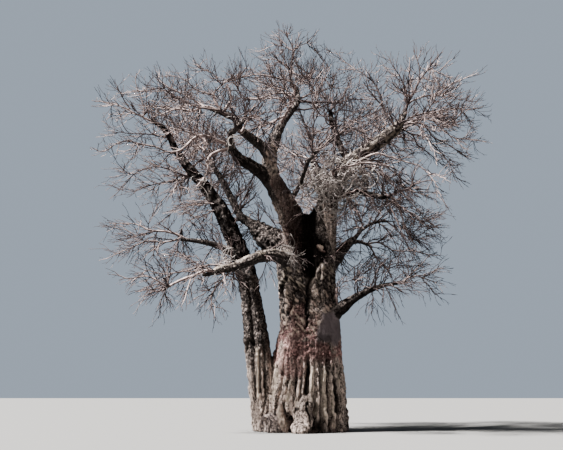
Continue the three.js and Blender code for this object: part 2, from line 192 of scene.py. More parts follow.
def mathNode(tree, operation, first, second, clamp=False):
    node = tree.nodes.new("ShaderNodeMath")
    node.operation = operation
    node.use_clamp = clamp
    fillSockets(tree, node.inputs, (first, second))
    return node.outputs[0]


def scaledNode(tree, value, factor, extra):
    return mathNode(tree, "ADD", mathNode(tree, "MULTIPLY", value, factor), extra)


def vectorNode(tree, operation, *values):
    node = tree.nodes.new("ShaderNodeVectorMath")
    node.operation = operation
    fillSockets(tree, node.inputs, values)
    return node.outputs[0]


def stepNode(tree, value, low, high):
    node = tree.nodes.new("ShaderNodeMapRange")
    node.interpolation_type = "SMOOTHSTEP"
    node.inputs["From Min"].default_value = low
    node.inputs["From Max"].default_value = high
    tree.links.new(value, node.inputs["Value"])
    return node.outputs["Result"]


def mixColor(tree, share, first, second):
    node = tree.nodes.new("ShaderNodeMix")
    node.data_type = "RGBA"
    tree.links.new(share, node.inputs["Factor"])
    for label, value in (("A", first), ("B", second)):
        socket = next(s for s in node.inputs if s.name == label and s.type == "RGBA")
        if isinstance(value, tuple):
            socket.default_value = (*value, 1.0)
        else:
            tree.links.new(value, socket)
    return next(s for s in node.outputs if s.type == "RGBA")


def barkGrainGroup():  # streaks along the height, blotches, speckle, plates, and a height
    look = grainLook
    group, source, result = newGroup(
        "barkGrain", look["sockets"], ["Streak", "Blotch", "Speckle", "Plate", "Height"])
    coordinates = group.nodes.new("ShaderNodeTexCoord").outputs["Object"]
    combine = group.nodes.new("ShaderNodeCombineXYZ")
    fillSockets(group, combine.inputs, (1.0, 1.0, source.outputs["Stretch"]))
    stretched = vectorNode(group, "MULTIPLY", coordinates, combine.outputs[0])
    streaks = noiseNode(group, stretched, source.outputs["Grain"], *look["streaks"])
    blotches = noiseNode(group, coordinates, source.outputs["Blotch"], *look["blotches"])
    flecks = noiseNode(group, coordinates, source.outputs["Fleck"], *look["flecks"])
    warped = vectorNode(group, "MULTIPLY_ADD", flecks.outputs["Color"], (look["warp"],) * 3, stretched)
    cells = group.nodes.new("ShaderNodeTexVoronoi")
    cells.feature = "DISTANCE_TO_EDGE"
    group.links.new(warped, cells.inputs["Vector"])
    scale = mathNode(group, "MULTIPLY", source.outputs["Grain"], look["platesPerGrain"])
    group.links.new(scale, cells.inputs["Scale"])
    plate = stepNode(group, cells.outputs["Distance"], 0.0, look["plateEdge"])
    rough = mathNode(group, "ADD", streaks.outputs["Fac"], flecks.outputs["Fac"])
    group.links.new(plate, result.inputs["Plate"])
    group.links.new(scaledNode(group, plate, look["plateHeight"], rough), result.inputs["Height"])
    for (label, ramp), texture in zip(look["ramps"].items(), (streaks, blotches, flecks)):
        group.links.new(stepNode(group, texture.outputs["Fac"], *ramp), result.inputs[label])
    return group


barkGrain = barkGrainGroup()


def placeGrain(tree, values):
    node = tree.nodes.new("ShaderNodeGroup")
    node.node_tree = barkGrain
    for (label, _), value in zip(grainLook["sockets"], values):
        node.inputs[label].default_value = value
    return node.outputs


def paintedTopLightNode(tree, ramp):  # painted light: 1 where the bark faces the sky, 0 underneath, so tops are painted paler and undersides darker
    split = tree.nodes.new("ShaderNodeSeparateXYZ")
    tree.links.new(tree.nodes.new("ShaderNodeNewGeometry").outputs["Normal"], split.inputs[0])
    return stepNode(tree, split.outputs["Z"], *ramp)


def attributeNode(tree, name):
    node = tree.nodes.new("ShaderNodeAttribute")
    node.attribute_name = name
    return node.outputs["Fac"]


def addBump(tree, shader, height, strength, depth):
    bump = tree.nodes.new("ShaderNodeBump")
    bump.inputs["Strength"].default_value = strength
    bump.inputs["Distance"].default_value = depth
    tree.links.new(height, bump.inputs["Height"])
    tree.links.new(bump.outputs["Normal"], shader.inputs["Normal"])


barkLook = {
    "upperDark": (0.016, 0.012, 0.011),
    "upperPale": (0.530, 0.425, 0.375),
    "lowerDark": (0.050, 0.036, 0.030),
    "lowerPale": (0.990, 0.775, 0.655),
    "stripped": (0.110, 0.043, 0.043),
    "strippedPale": (0.900, 0.495, 0.440),
    "smooth": (0.105, 0.080, 0.083),
    "smoothPale": (0.150, 0.118, 0.120),
    "pale": (0.860, 0.700, 0.550),
    "shadeAndDarkBarkColor": (0.0034, 0.0026, 0.0023),
    "grain": (6.5, 0.42, 1.4, 11.0),  # grain, stretch, blotch and fleck, as in grainLook
    "uprightGrain": (8.5, 0.13, 1.4, 13.0),
    "streakShare": (0.65, 0.35),  # each share is a factor and what is added to it
    "plateShare": (0.7, 0.3),
    # painted light: the bark's pale share rises where it faces the sky and falls underneath
    "paintedTopLight": (-0.55, 0.65),
    "paintedTopLightShare": (1.55, 0.1),
    "strokes": (0.6, 0.5),  # how much streaks and speckle count lower down
    "strokeRamp": (0.16, 0.74),
    "uprightPlates": (0.75, 0.25),
    "roughness": (0.12, 0.8),
    "specular": 0.2,
    "bump": (0.9, 0.16),  # strength and depth
}


def makeTrunkBark():
    look = barkLook
    material, tree, shader = newMaterial("baobabBark")
    grain = placeGrain(tree, look["grain"])
    streaked = scaledNode(tree, grain["Streak"], *look["streakShare"])
    mottle = mathNode(tree, "MULTIPLY", grain["Speckle"], streaked)
    mottle = mathNode(tree, "MULTIPLY", mottle, scaledNode(tree, grain["Plate"], *look["plateShare"]))
    # painted light: the mottle is paler on top and darker underneath, by the way the surface faces
    paintedTopLit = scaledNode(tree, paintedTopLightNode(tree, look["paintedTopLight"]), *look["paintedTopLightShare"])
    mottleAndPaintedTopLight = mathNode(tree, "MULTIPLY", mottle, paintedTopLit, clamp=True)
    upper = mixColor(tree, mottleAndPaintedTopLight, look["upperDark"], look["upperPale"])
    upright = placeGrain(tree, look["uprightGrain"])
    streaks, speckle = [mathNode(tree, "MULTIPLY", upright[label], share)
                        for label, share in zip(("Streak", "Speckle"), look["strokes"])]
    strokes = stepNode(tree, mathNode(tree, "ADD", streaks, speckle), *look["strokeRamp"])
    strokes = mathNode(tree, "MULTIPLY", strokes,
                       scaledNode(tree, upright["Plate"], *look["uprightPlates"]))
    lower = mixColor(tree, strokes, look["lowerDark"], look["lowerPale"])
    pink = mixColor(tree, mottle, look["stripped"], look["strippedPale"])
    calm = mixColor(tree, grain["Blotch"], look["smooth"], look["smoothPale"])
    color = upper
    # the last mark darkens towards the shade colour: painted shade in crevices, recesses and shaded limbs,
    # and some dark bark
    for mark, shown in (("tan", lower), ("stripped", pink), ("smooth", calm),
                        ("pale", look["pale"]), ("paintedShadeAndDarkBark", look["shadeAndDarkBarkColor"])):
        color = mixColor(tree, attributeNode(tree, mark), color, shown)
    tree.links.new(color, shader.inputs["Base Color"])
    tree.links.new(scaledNode(tree, grain["Blotch"], *look["roughness"]), shader.inputs["Roughness"])
    # the sheen fades where shade is painted, so that painted shade stays dark
    lit = mathNode(tree, "SUBTRACT", 1.0, attributeNode(tree, "paintedShadeAndDarkBark"), clamp=True)
    tree.links.new(mathNode(tree, "MULTIPLY", lit, look["specular"]), shader.inputs["Specular IOR Level"])
    tan = attributeNode(tree, "tan")
    above = mathNode(tree, "MULTIPLY", grain["Height"], mathNode(tree, "SUBTRACT", 1.0, tan))
    height = mathNode(tree, "ADD", mathNode(tree, "MULTIPLY", upright["Height"], tan), above)
    addBump(tree, shader, height, *look["bump"])
    return material


twigLook = {  # dark and pale colour of each bark, and what they share
    "barks": {
        "greyTwig": ((0.200, 0.170, 0.155), (0.600, 0.530, 0.485)),
        "paleTwig": ((0.110, 0.076, 0.070), (0.640, 0.500, 0.455)),
        "brownTwig": ((0.050, 0.035, 0.032), (0.400, 0.300, 0.270)),
        "darkTwig": ((0.020, 0.014, 0.014), (0.130, 0.096, 0.090)),
    },
    "grain": (5.0, 0.8, 2.2, 14.0),
    "paintedTopLight": (-0.3, 0.8),
    "streakShare": (0.6, 0.5),
    "roughness": (0.1, 0.78),
    "specular": 0.1,
    "bump": (0.5, 0.012),
}


def makeTwigBark(name, dark, pale):
    look = twigLook
    material, tree, shader = newMaterial(name)
    grain = placeGrain(tree, look["grain"])
    # painted light: each twig is painted paler on top and darker underneath, as if lit from above
    share = mathNode(tree, "MULTIPLY", paintedTopLightNode(tree, look["paintedTopLight"]),
                     scaledNode(tree, grain["Streak"], *look["streakShare"]), clamp=True)
    tree.links.new(mixColor(tree, share, dark, pale), shader.inputs["Base Color"])
    tree.links.new(scaledNode(tree, grain["Blotch"], *look["roughness"]), shader.inputs["Roughness"])
    shader.inputs["Specular IOR Level"].default_value = look["specular"]
    addBump(tree, shader, grain["Height"], *look["bump"])
    return material


trunkBark = makeTrunkBark()
twigBarks = [makeTwigBark(name, *colors) for name, colors in twigLook["barks"].items()]
print("materials ready")


# The limbs' middle lines, worked out from the frame's solids

limbReading = {
    "samples": 5000,  # points spread over each solid
    "step": 0.35,  # metres between the middles that are found
    "fine": 0.06,  # metres between the points of the finished line
    "fewest": 12,  # points that a slice must have
    "boxShare": 0.3,  # how far a middle follows the slice's box instead of its points
}


def readArray(items, key, width, kind=float):
    values = np.empty(len(items) * width, dtype=kind)
    items.foreach_get(key, values)
    return values.reshape(-1, width)


def nodeTriangles(name):
    mesh = nodes[name].data
    mesh.calc_loop_triangles()
    return readArray(mesh.vertices, "co", 3)[readArray(mesh.loop_triangles, "vertices", 3, int)]


def surfacePoints(name, count):
    triangles = nodeTriangles(name)
    first, second = triangles[:, 1] - triangles[:, 0], triangles[:, 2] - triangles[:, 0]
    areas = np.linalg.norm(np.cross(first, second), axis=1)
    dice = np.random.default_rng(5)
    chosen = dice.choice(len(triangles), count, p=areas / areas.sum())
    u, v = dice.random(count), dice.random(count)
    over = u + v > 1
    u[over], v[over] = 1 - u[over], 1 - v[over]
    return triangles[chosen, 0] + first[chosen] * u[:, None] + second[chosen] * v[:, None]


def resample(points, values, step):
    gaps = np.linalg.norm(np.diff(points, axis=0), axis=1)
    along = np.concatenate([[0.0], np.cumsum(gaps)])
    count = max(3, int(along[-1] / step) + 1)
    at = np.linspace(0.0, along[-1], count)
    line = np.stack([np.interp(at, along, points[:, axis]) for axis in range(3)], axis=1)
    return line, np.interp(at, along, values), at


def directions(line):
    steps = np.gradient(line, axis=0)
    return steps / np.linalg.norm(steps, axis=1)[:, None]


def readLimb(name):
    points = surfacePoints(name, limbReading["samples"])
    upright = name in ("trunk", "side_stem")
    centred = points - points.mean(axis=0)
    axis = np.array([0.0, 0.0, 1.0]) if upright else np.linalg.svd(centred, full_matrices=False)[2][0]
    along = centred @ axis
    bins = max(3, int((along.max() - along.min()) / limbReading["step"]))
    edges = np.linspace(along.min(), along.max(), bins + 1)
    middles, girths = [], []
    for low, high in zip(edges[:-1], edges[1:]):
        slab = points[(along >= low) & (along <= high)]
        if len(slab) < limbReading["fewest"]:
            continue
        share = limbReading["boxShare"]
        middle = (slab.min(axis=0) + slab.max(axis=0)) / 2 * share + slab.mean(axis=0) * (1 - share)
        middles.append(middle)
        away = slab - middle
        away -= np.outer(away @ axis, axis)
        girths.append(np.linalg.norm(away, axis=1).mean())
    middles, girths = np.array(middles), np.array(girths)
    if not upright and girths[:2].mean() < girths[-2:].mean():
        middles, girths = middles[::-1], girths[::-1]
    line, girth, at = resample(middles, girths, limbReading["fine"])
    return {"line": line, "girth": girth, "at": at, "dir": directions(line)}


limbs = {name: readLimb(name) for name in woodNames}
print("middle lines read:", len(limbs))


# The bark skin over trunk, side stem and boughs

skin = {
    "voxel": 0.038,
    "smoothRounds": 3,
    "smoothShare": 0.5,
    "fillet": 0.9,  # how far limbs flow into each other, in shares of the thinner one's radius
    "filletReach": (0.06, 0.6),  # the least and the most, in metres
    "filletPush": 0.25,
    "filletRounds": 14,
    "filletRelax": 0.6,  # how far each round draws a point to its neighbours
    "seamFade": 0.12,  # metres over which the relief dies away where two limbs meet
    "seamRelief": 0.3,  # share of the relief that is left there
    "seamDark": 0.4,  # share of the painted shade and dark bark that is left there
    "furrowDepth": 0.040,
    # painted shade in the furrows
    "furrowDark": 0.7,
    "wrinkleDepth": 0.016,
    "rubbleDepth": 0.042,
    # painted shade on the low spots of the relief
    "lowDark": 0.55,
    "fullReliefGirth": 0.45,  # radius from which the relief has its full depth
    "leastRelief": 0.22,
    "limbReach": 2.2,  # metres from a limb's line within which points may belong to it
    "borderRounds": 8,
    "capSunk": 0.1,  # metres
}

# Crevices of the trunk's foot: degrees round it, foot, top, depth and width in metres
trunkCrevices = [
    (-147, 0.7, 2.7, 0.05, 0.05), (-136, 1.1, 2.8, 0.06, 0.04), (-123, 1.2, 2.5, 0.03, 0.04),
    (-109, 1.5, 2.75, 0.20, 0.07), (-99, 1.3, 2.5, 0.07, 0.04), (-90, 0.9, 2.95, 0.34, 0.085),
    (-78, 0.1, 1.5, 0.10, 0.045), (-67, 0.1, 2.9, 0.19, 0.055), (-54, 0.1, 3.1, 0.20, 0.06),
    (-41, 0.1, 3.2, 0.18, 0.05), (-25, 0.1, 2.3, 0.14, 0.05), (-10, 0.0, 2.9, 0.12, 0.05),
]

trunkShape = {
    "seed": 3,
    "radius": 1.35,  # at which distances along the paths round the trunk are measured
    "spacing": 15.5,  # degrees between the crevices that follow round the back
    "lastSpace": 0.6,  # share of the spacing that the last of them leaves at least
    # What is drawn for each of them: shift in degrees, foot, top, depth and width
    "drawn": ((-3, 3), (0, 0.5), (2.3, 3.7), (0.08, 0.14), (0.04, 0.06)),
    "wander": 0.4,  # degrees
    "sway": ((2.0, 3.7, 0.5, 0.5), (0.7, 5.1, 9.5, 1.9)),  # share, step, start and rate of each noise
    "ridgeHeight": 0.145,
    "ridgeTop": (2.6, 1.1),  # the least height at which a ridge fades, and what is added
    "ridgeFade": (0.8, 0.25),  # metres below and above that height
    "ridgeRound": 2.6,
    "ridgeLeft": 0.12,  # share of a ridge that is left above
    "bold": (0.45, 0.9),  # the least height of the ridges, and what is added where they are boldest
    "boldTurn": -25,  # degrees
    "ribs": 0.034,
    "tan": (2.3, 4.4),  # heights over which the tan ends
    "calmShare": 0.85,  # how much of the plain relief the smooth patch loses
    "plainDark": 0.8,  # how much of the plain relief's painted shade stays
    "clefts": {
        "depth": 0.30,
        "width": 0.05,
        "widening": 0.11,
        "widensOver": 3.2,
        "shallower": 0.8,
        "shallowFrom": (6.9, 7.7),
        "paths": (
            ((-99, 3.95), (-99, 4.5), (-96, 4.95), (-92, 5.3), (-86, 5.75), (-83, 6.2), (-84, 8.8)),
            ((80, 4.4), (82, 5.4), (78, 6.6), (80, 8.8))),
    },
    "grooves": (
        {"depth": 0.16, "dark": 0.98, "width": 0.075, "paths": (
            ((-139, 4.75), (-130, 5.05), (-126, 5.35), (-119, 5.62), (-108, 5.72), (-96, 5.6)),
            ((-124, 6.1), (-114, 5.95), (-104, 5.82), (-97, 5.7)))},
        {"depth": 0.10, "dark": 0.8, "width": 0.075, "paths": (
            ((-89, 5.35), (-82, 5.42), (-76, 5.25), (-70, 5.05)), ((-156, 5.6), (-150, 6.0), (-134, 6.2)),
            ((-62, 5.1), (-65, 5.9), (-62, 6.8)), ((-35, 5.4), (-31, 6.4), (-36, 7.3)),
            ((140, 4.4), (145, 5.4), (138, 6.4)), ((25, 4.6), (20, 5.6), (26, 6.8)),
            ((108, 4.6), (112, 5.8), (106, 6.8)), ((178, 4.4), (183, 5.5), (176, 6.6)))},
    ),
    "lips": {  # torn edges of the stripped band: each path runs from left to right
        "height": 0.034,
        "edgeAt": 0.03,
        "edgeWidth": 0.045,
        "underAt": 0.05,
        "underWidth": 0.03,
        "undercut": 0.05,
        "dark": 0.8,
        "paths": (
            ((-121, 3.25), (-119, 3.65), (-103, 3.85), (-84, 4.05)),
            ((-112, 3.35), (-98, 3.55), (-88, 3.5)), ((-86, 3.7), (-74, 3.85), (-62, 3.65)),
            ((-126, 2.7), (-118, 3.0), (-108, 3.1)), ((-97, 3.25), (-86, 3.42), (-72, 3.35)),
            ((-72, 3.0), (-60, 3.2), (-48, 3.0)), ((-60, 3.5), (-44, 3.6), (-28, 3.4)),
            ((-100, 3.1), (-88, 3.25), (-76, 3.05)), ((-36, 3.3), (-20, 3.6), (-4, 3.4)),
            ((8, 3.2), (24, 3.55), (40, 3.3)), ((58, 3.5), (74, 3.8), (92, 3.5)),
            ((104, 3.3), (121, 3.6), (136, 3.35))),
    },
    "cowls": {  # raised rims that run up the foot: path, height and half width
        "bare": 0.8,
        "rows": (
            (((-121, 1.3), (-113, 2.1), (-106, 2.8), (-99, 2.95), (-94, 2.6)), 0.10, 0.075),
            (((-84, 1.6), (-82, 2.3), (-79, 2.9)), 0.05, 0.09)),
    },
    "lumps": {"taper": 0.4, "calmed": 0.8, "roundness": 0.6, "moatAt": 1.1, "moatWidth": 0.13,
              "moatDepth": 0.05, "moatDark": 0.8, "grey": 0.78, "shown": 0.5},
    "streaks": {"dark": 0.95, "clears": 0.7, "plain": 0.3, "flecked": 0.65},
    "stripped": {"foot": 2.5, "top": 4.9, "share": 0.85},
    "calmPatch": ((-77, -5), (3.55, 4.85)),  # degrees and heights of the smooth patch
}

# Patches on the trunk: what each shows, how strongly, its degrees and its heights. The dark patches are
# painted shade and dark bark; some tan patches are painted light where the bark catches the sun
trunkPatches = [
    ("stripped", 0.65, (-147, -96), (2.1, 3.9)), ("stripped", 0.4, (-89, -69), (4.1, 4.8)),
    ("tan", 0.9, (-89, -69), (4.1, 4.8)), ("tan", 0.55, (-89, -69), (4.8, 6.8)),
    ("tan", 0.5, (-66, -55), (6.3, 6.9)), ("tan", 0.5, (-63, -55), (5.1, 5.7)),
    ("tan", 0.4, (-140, -120), (5.35, 6.1)), ("paintedShadeAndDarkBark", 0.3, (-144, -128), (5.2, 6.3)),
    ("paintedShadeAndDarkBark", 0.45, (-70, -24), (5.05, 6.6)),
    ("tan", 0.2, (-138, -102), (4.1, 5.2)), ("stripped", 0.55, (-138, -100), (4.0, 5.2)),
    ("paintedShadeAndDarkBark", 0.75, (-108, -97), (4.9, 5.6)), ("paintedShadeAndDarkBark", 0.7, (-188, -158), (3.6, 5.0)),
    ("paintedShadeAndDarkBark", 0.97, (-172, -141), (5.35, 6.1)), ("paintedShadeAndDarkBark", 0.5, (-182, -144), (6.2, 7.4)),
    ("paintedShadeAndDarkBark", 0.55, (-107, -45), (2.75, 3.9)), ("paintedShadeAndDarkBark", 0.6, (-175, -131), (4.0, 5.35)),
    ("paintedShadeAndDarkBark", 0.6, (-175, -132), (6.0, 6.9)), ("paintedShadeAndDarkBark", 0.5, (-175, -140), (5.2, 5.6)),
]

# Streaks up the trunk's foot: degrees round it, foot, top, half width, what it shows. The dark streaks are
# painted shade in crevices and at the foot; the pale ones are partly pale bark and partly painted highlights
# on ridges turned from the sun
trunkStreaks = [
    (-92, 1.6, 2.6, 0.07, "paintedShadeAndDarkBark"), (-69, 0.2, 2.8, 0.045, "paintedShadeAndDarkBark"), (-54, 0.1, 2.6, 0.055, "paintedShadeAndDarkBark"),
    (-39, 0.6, 2.3, 0.08, "paintedShadeAndDarkBark"), (-71, 0.0, 0.7, 0.26, "paintedShadeAndDarkBark"),
    (-83, 1.2, 2.7, 0.08, "pale"), (-77, 0.7, 1.5, 0.045, "pale"), (-74, 0.5, 1.5, 0.03, "pale"),
    (-62, 0.5, 2.6, 0.08, "pale"), (-47, 0.6, 1.8, 0.085, "pale"), (-48, 0.0, 0.5, 0.10, "stripped"),
    (-33, 1.6, 2.6, 0.07, "pale"), (130, 1.0, 2.2, 0.07, "pale"), (-104, 0.9, 1.4, 0.05, "pale"),
    (-118, 1.0, 2.2, 0.07, "pale"), (-150, 1.2, 2.6, 0.12, "pale"),
]

# Lumps on the trunk: degrees, height, half width, half height, push, tilt, what it shows
trunkLumps = [
    (-146, -0.1, 0.66, 0.86, 0.50, 0, "grey"), (-113, 0.36, 0.17, 0.44, -0.45, 10, "paintedShadeAndDarkBark"),
    (-125, 0.60, 0.17, 0.62, 0.25, 10, "stripped"), (-49, 0.36, 0.13, 0.24, 0.12, 0, "stripped"),
    (-114, 5.42, 0.28, 0.30, 0.14, 0, None), (-131, 5.75, 0.26, 0.36, 0.12, 0, None),
    (-30, 0.0, 0.35, 0.5, 0.16, 0, None), (-66, 0.0, 0.3, 0.4, 0.12, 0, None),
    (15, 0.0, 0.4, 0.7, 0.12, 0, None), (62, 0.0, 0.5, 0.8, 0.26, 0, "grey"),
    (112, 0.0, 0.4, 0.6, 0.22, 0, None), (160, 0.0, 0.45, 0.8, 0.25, 0, None),
]


def smoothStep(low, high, value):
    share = np.clip((value - low) / (high - low), 0.0, 1.0)
    return share * share * (3 - 2 * share)


noiseStep = (7.31, 3.17, 5.79)  # how far the noise moves from one seed to the next


def noiseField(points, scale, seed):
    shift = Vector([seed * step for step in noiseStep])
    return np.array([noise.noise(Vector(point) * scale + shift) for point in points])


# Layers of each noise in the skin: share, scale and seed
skinNoises = {
    "ribs": ((1.0, 1.0, 2),),
    "ragged": ((0.12, 3.2, 12), (0.05, 9.0, 16)),
    "lipBreaks": ((1.0, 3.8, 17),),
    "rootCracks": ((1.0, 7.0, 18),),
    "rootKnobs": ((0.14, 4.5, 14), (0.07, 11.0, 15)),
    "flecks": ((1.0, 9.0, 21),),
    "strippedEdge": ((1.0, 1.5, 9), (0.6, 4.2, 10)),
    "plates": ((1.0, 1.0, 23),),
    "furrow": ((1.0, 2.0, 4),),
    "rubble": ((1.0, 4.2, 5), (0.6, 8.5, 6)),
    "wrinkle": ((1.0, 1.0, 7),),
    "tanEdge": ((0.9, 1.4, 8),),
    "paintedLightPatch": ((1.0, 9.0, 22),),
    "rightBough": ((1.0, 6.5, 24),),
    "burl": ((1.0, 10.0, 19), (0.7, 19.0, 20)),
}


def noiseOf(name, points):
    return sum(share * noiseField(points, scale, seed) for share, scale, seed in skinNoises[name])


def bell(gap, width):  # 1 in the middle, and dies away over the width
    return np.exp(-(gap / width) ** 2)


def between(value, rise, fall):  # 1 between a rise and a fall, 0 outside
    return smoothStep(*rise, value) * (1 - smoothStep(*fall, value))


def raiseMark(marks, key, values, where=slice(None)):  # a mark is at least these values
    marks[key][where] = np.maximum(marks[key][where], values)


def joinedWood():
    joined = bmesh.new()
    for name in woodNames:
        joined.from_mesh(nodes[name].data)
    bmesh.ops.remove_doubles(joined, verts=joined.verts, dist=0.0001)
    mesh = bpy.data.meshes.new("woodCore")
    joined.to_mesh(mesh)
    joined.free()
    return mesh


def remeshed(mesh):
    core = newObject("woodCore", mesh)
    remesh = core.modifiers.new("evenFaces", "REMESH")
    remesh.mode = "VOXEL"
    remesh.voxel_size = skin["voxel"]
    smooth = core.modifiers.new("softJoints", "SMOOTH")
    smooth.factor = skin["smoothShare"]
    smooth.iterations = skin["smoothRounds"]
    evaluated = core.evaluated_get(bpy.context.evaluated_depsgraph_get())
    result = bpy.data.meshes.new_from_object(evaluated)
    bpy.data.objects.remove(core)
    return result


def meshArrays(mesh):
    return (readArray(mesh.vertices, "co", 3), readArray(mesh.vertices, "normal", 3),
            readArray(mesh.edges, "vertices", 2, int))


def relax(points, edges, share, rounds):
    count = len(points)
    degree = np.bincount(edges.ravel(), minlength=count)[:, None]
    for _ in range(rounds):
        total = np.zeros_like(points)
        for axis in range(points.shape[1]):
            total[:, axis] = (np.bincount(edges[:, 0], points[edges[:, 1], axis], count)
                              + np.bincount(edges[:, 1], points[edges[:, 0], axis], count))
        points = points + (total / np.maximum(degree, 1) - points) * share
    return points


def kdOf(points):
    tree = KDTree(len(points))
    for index, point in enumerate(points):
        tree.insert(point, index)
    tree.balance()
    return tree


def nearestLimb(points):
    depths = np.full((2, len(points)), 1e9)
    owner = np.zeros(len(points), dtype=int)
    place = np.zeros(len(points), dtype=int)
    girths = np.ones((2, len(points)))
    for index, name in enumerate(woodNames):
        limb = limbs[name]
        tree = kdOf(limb["line"])
        low = limb["line"].min(axis=0) - skin["limbReach"]
        high = limb["line"].max(axis=0) + skin["limbReach"]
        inside = np.nonzero(np.all((points > low) & (points < high), axis=1))[0]
        for i in inside:
            _, spot, distance = tree.find(points[i])
            girth = limb["girth"][spot]
            depth = distance - girth
            if depth < depths[0, i]:
                depths[1, i], girths[1, i] = depths[0, i], girths[0, i]
                depths[0, i], owner[i], place[i], girths[0, i] = depth, index, spot, girth
            elif depth < depths[1, i]:
                depths[1, i], girths[1, i] = depth, girth
    return owner, place, depths[1] - depths[0], girths.min(axis=0)


def turnedBy(angle, degrees):
    return (angle - math.radians(degrees) + np.pi) % (2 * np.pi) - np.pi


def pathGap(angle, height, path, radius=trunkShape["radius"]):  # distance to a path, and its side
    middle = sum(turn for turn, _ in path) / len(path)
    across = turnedBy(angle, middle) * radius
    spots = [(math.radians(turn - middle) * radius, level) for turn, level in path]
    best = np.full(len(angle), 1e9)
    side = np.zeros(len(angle))
    for (x, z), (nextX, nextZ) in zip(spots[:-1], spots[1:]):
        runX, runZ = nextX - x, nextZ - z
        share = ((across - x) * runX + (height - z) * runZ) / (runX ** 2 + runZ ** 2)
        share = np.clip(share, 0.0, 1.0)
        gap = np.hypot(across - x - share * runX, height - z - share * runZ)
        nearer = gap < best
        best[nearer] = gap[nearer]
        turn = runX * (height - z) - runZ * (across - x)
        side[nearer] = np.sign(turn[nearer])
    return best, side


def window(angle, height, turns, levels):  # 1 inside a span of degrees and heights, soft edged
    middle, half = (turns[0] + turns[1]) / 2, math.radians(turns[1] - turns[0]) / 2
    inside = 1 - smoothStep(half * 0.8, half * 1.1, np.abs(turnedBy(angle, middle)))
    low, high = levels
    return inside * between(height, (low - 0.15, low + 0.15), (high - 0.15, high + 0.15))


def creviceRows():  # the listed crevices and those that follow round the back, and their fade
    shape = trunkShape
    draw = random.Random(shape["seed"])
    rows = list(trunkCrevices)
    turn = rows[-1][0] + shape["spacing"]
    while turn < rows[0][0] + 360 - shape["spacing"] * shape["lastSpace"]:
        shift, *rest = [draw.uniform(*span) for span in shape["drawn"]]
        rows.append((turn + shift, *rest))
        turn += shape["spacing"]
    least, more = shape["ridgeTop"]
    return np.array(rows), np.array([least + more * draw.random() for _ in rows])


def flutes(angle, height, radius):
    shape = trunkShape
    rows, tops = creviceRows()
    levels = np.linspace(0.0, 9.0, 91)
    centres = []
    for index, turn in enumerate(rows[:, 0]):
        sway = [sum(share * noise.noise(Vector((index * step, start, level * rate)))
                    for share, step, start, rate in shape["sway"]) for level in levels]
        centres.append(np.radians(turn + shape["wander"] * np.interp(height, levels, sway)))
    centres = np.array(centres)
    past = (angle[None] - centres) % (2 * np.pi)
    before = (centres - angle[None]) % (2 * np.pi)
    left, right = past.argmin(axis=0), before.argmin(axis=0)
    leftGap, rightGap = past.min(axis=0), before.min(axis=0)
    share = leftGap / (leftGap + rightGap)
    below, above = shape["ridgeFade"]
    low = 1 - smoothStep(tops[left] - below, tops[left] + above, height)
    ridge = 1 - np.abs(2 * share - 1) ** shape["ridgeRound"]
    least, more = shape["bold"]
    bold = least + more * (0.5 + 0.5 * np.cos(turnedBy(angle, shape["boldTurn"])))
    fade = shape["ridgeLeft"] + (1 - shape["ridgeLeft"]) * low
    offset = shape["ridgeHeight"] * bold * (ridge - 0.66) * fade
    crack = np.zeros(len(angle))
    for index, gap in ((left, leftGap), (right, rightGap)):
        foot, top, depth, width = rows[index, 1:].T
        within = between(height, (foot - 0.2, foot + 0.25), (top - 0.3, top + 0.2))
        cut = bell(gap * radius, width) * within
        offset -= depth * cut
        # painted shade in the crevice, darker where it is deeper
        crack = np.maximum(crack, cut * np.clip(depth / 0.13, 0.25, 1.0))
    return offset, crack, low


def carveCuts(part):  # the clefts and grooves, with painted shade in them
    clefts = trunkShape["clefts"]
    for path in clefts["paths"]:
        gap, _ = pathGap(part.angle, part.height, path)
        foot = path[0][1]
        width = clefts["width"] + clefts["widening"] * smoothStep(
            foot, foot + clefts["widensOver"], part.height)
        cut = bell(gap, width) * smoothStep(foot - 0.1, foot + 0.5, part.height)
        shallow = clefts["shallower"] * smoothStep(*clefts["shallowFrom"], part.height)
        part.offset -= clefts["depth"] * cut * (1 - shallow)
        raiseMark(part.marks, "paintedShadeAndDarkBark", cut)
    for grooves in trunkShape["grooves"]:
        for path in grooves["paths"]:
            gap, _ = pathGap(part.angle, part.height, path)
            cut = bell(gap, grooves["width"])
            part.offset -= grooves["depth"] * cut
            raiseMark(part.marks, "paintedShadeAndDarkBark", grooves["dark"] * cut)


def raiseLips(part, ragged):
    lips = trunkShape["lips"]
    broken = smoothStep(-0.25, 0.15, noiseOf("lipBreaks", part.points))
    for path in lips["paths"]:
        gap, side = pathGap(part.angle, part.height + ragged, path)
        edge = bell(gap * side - lips["edgeAt"], lips["edgeWidth"])
        under = bell(gap * side + lips["underAt"], lips["underWidth"]) * broken
        part.offset += lips["height"] * edge * broken - lips["undercut"] * under
        # painted shade under each torn lip
        raiseMark(part.marks, "paintedShadeAndDarkBark", lips["dark"] * under)
        raiseMark(part.marks, "stripped", edge)


def raiseCowls(part):
    cowls = trunkShape["cowls"]
    for path, high, wide in cowls["rows"]:
        gap, _ = pathGap(part.angle, part.height, path)
        rim = bell(gap, wide)
        part.offset += high * rim
        part.marks["paintedShadeAndDarkBark"] *= 1 - cowls["bare"] * rim


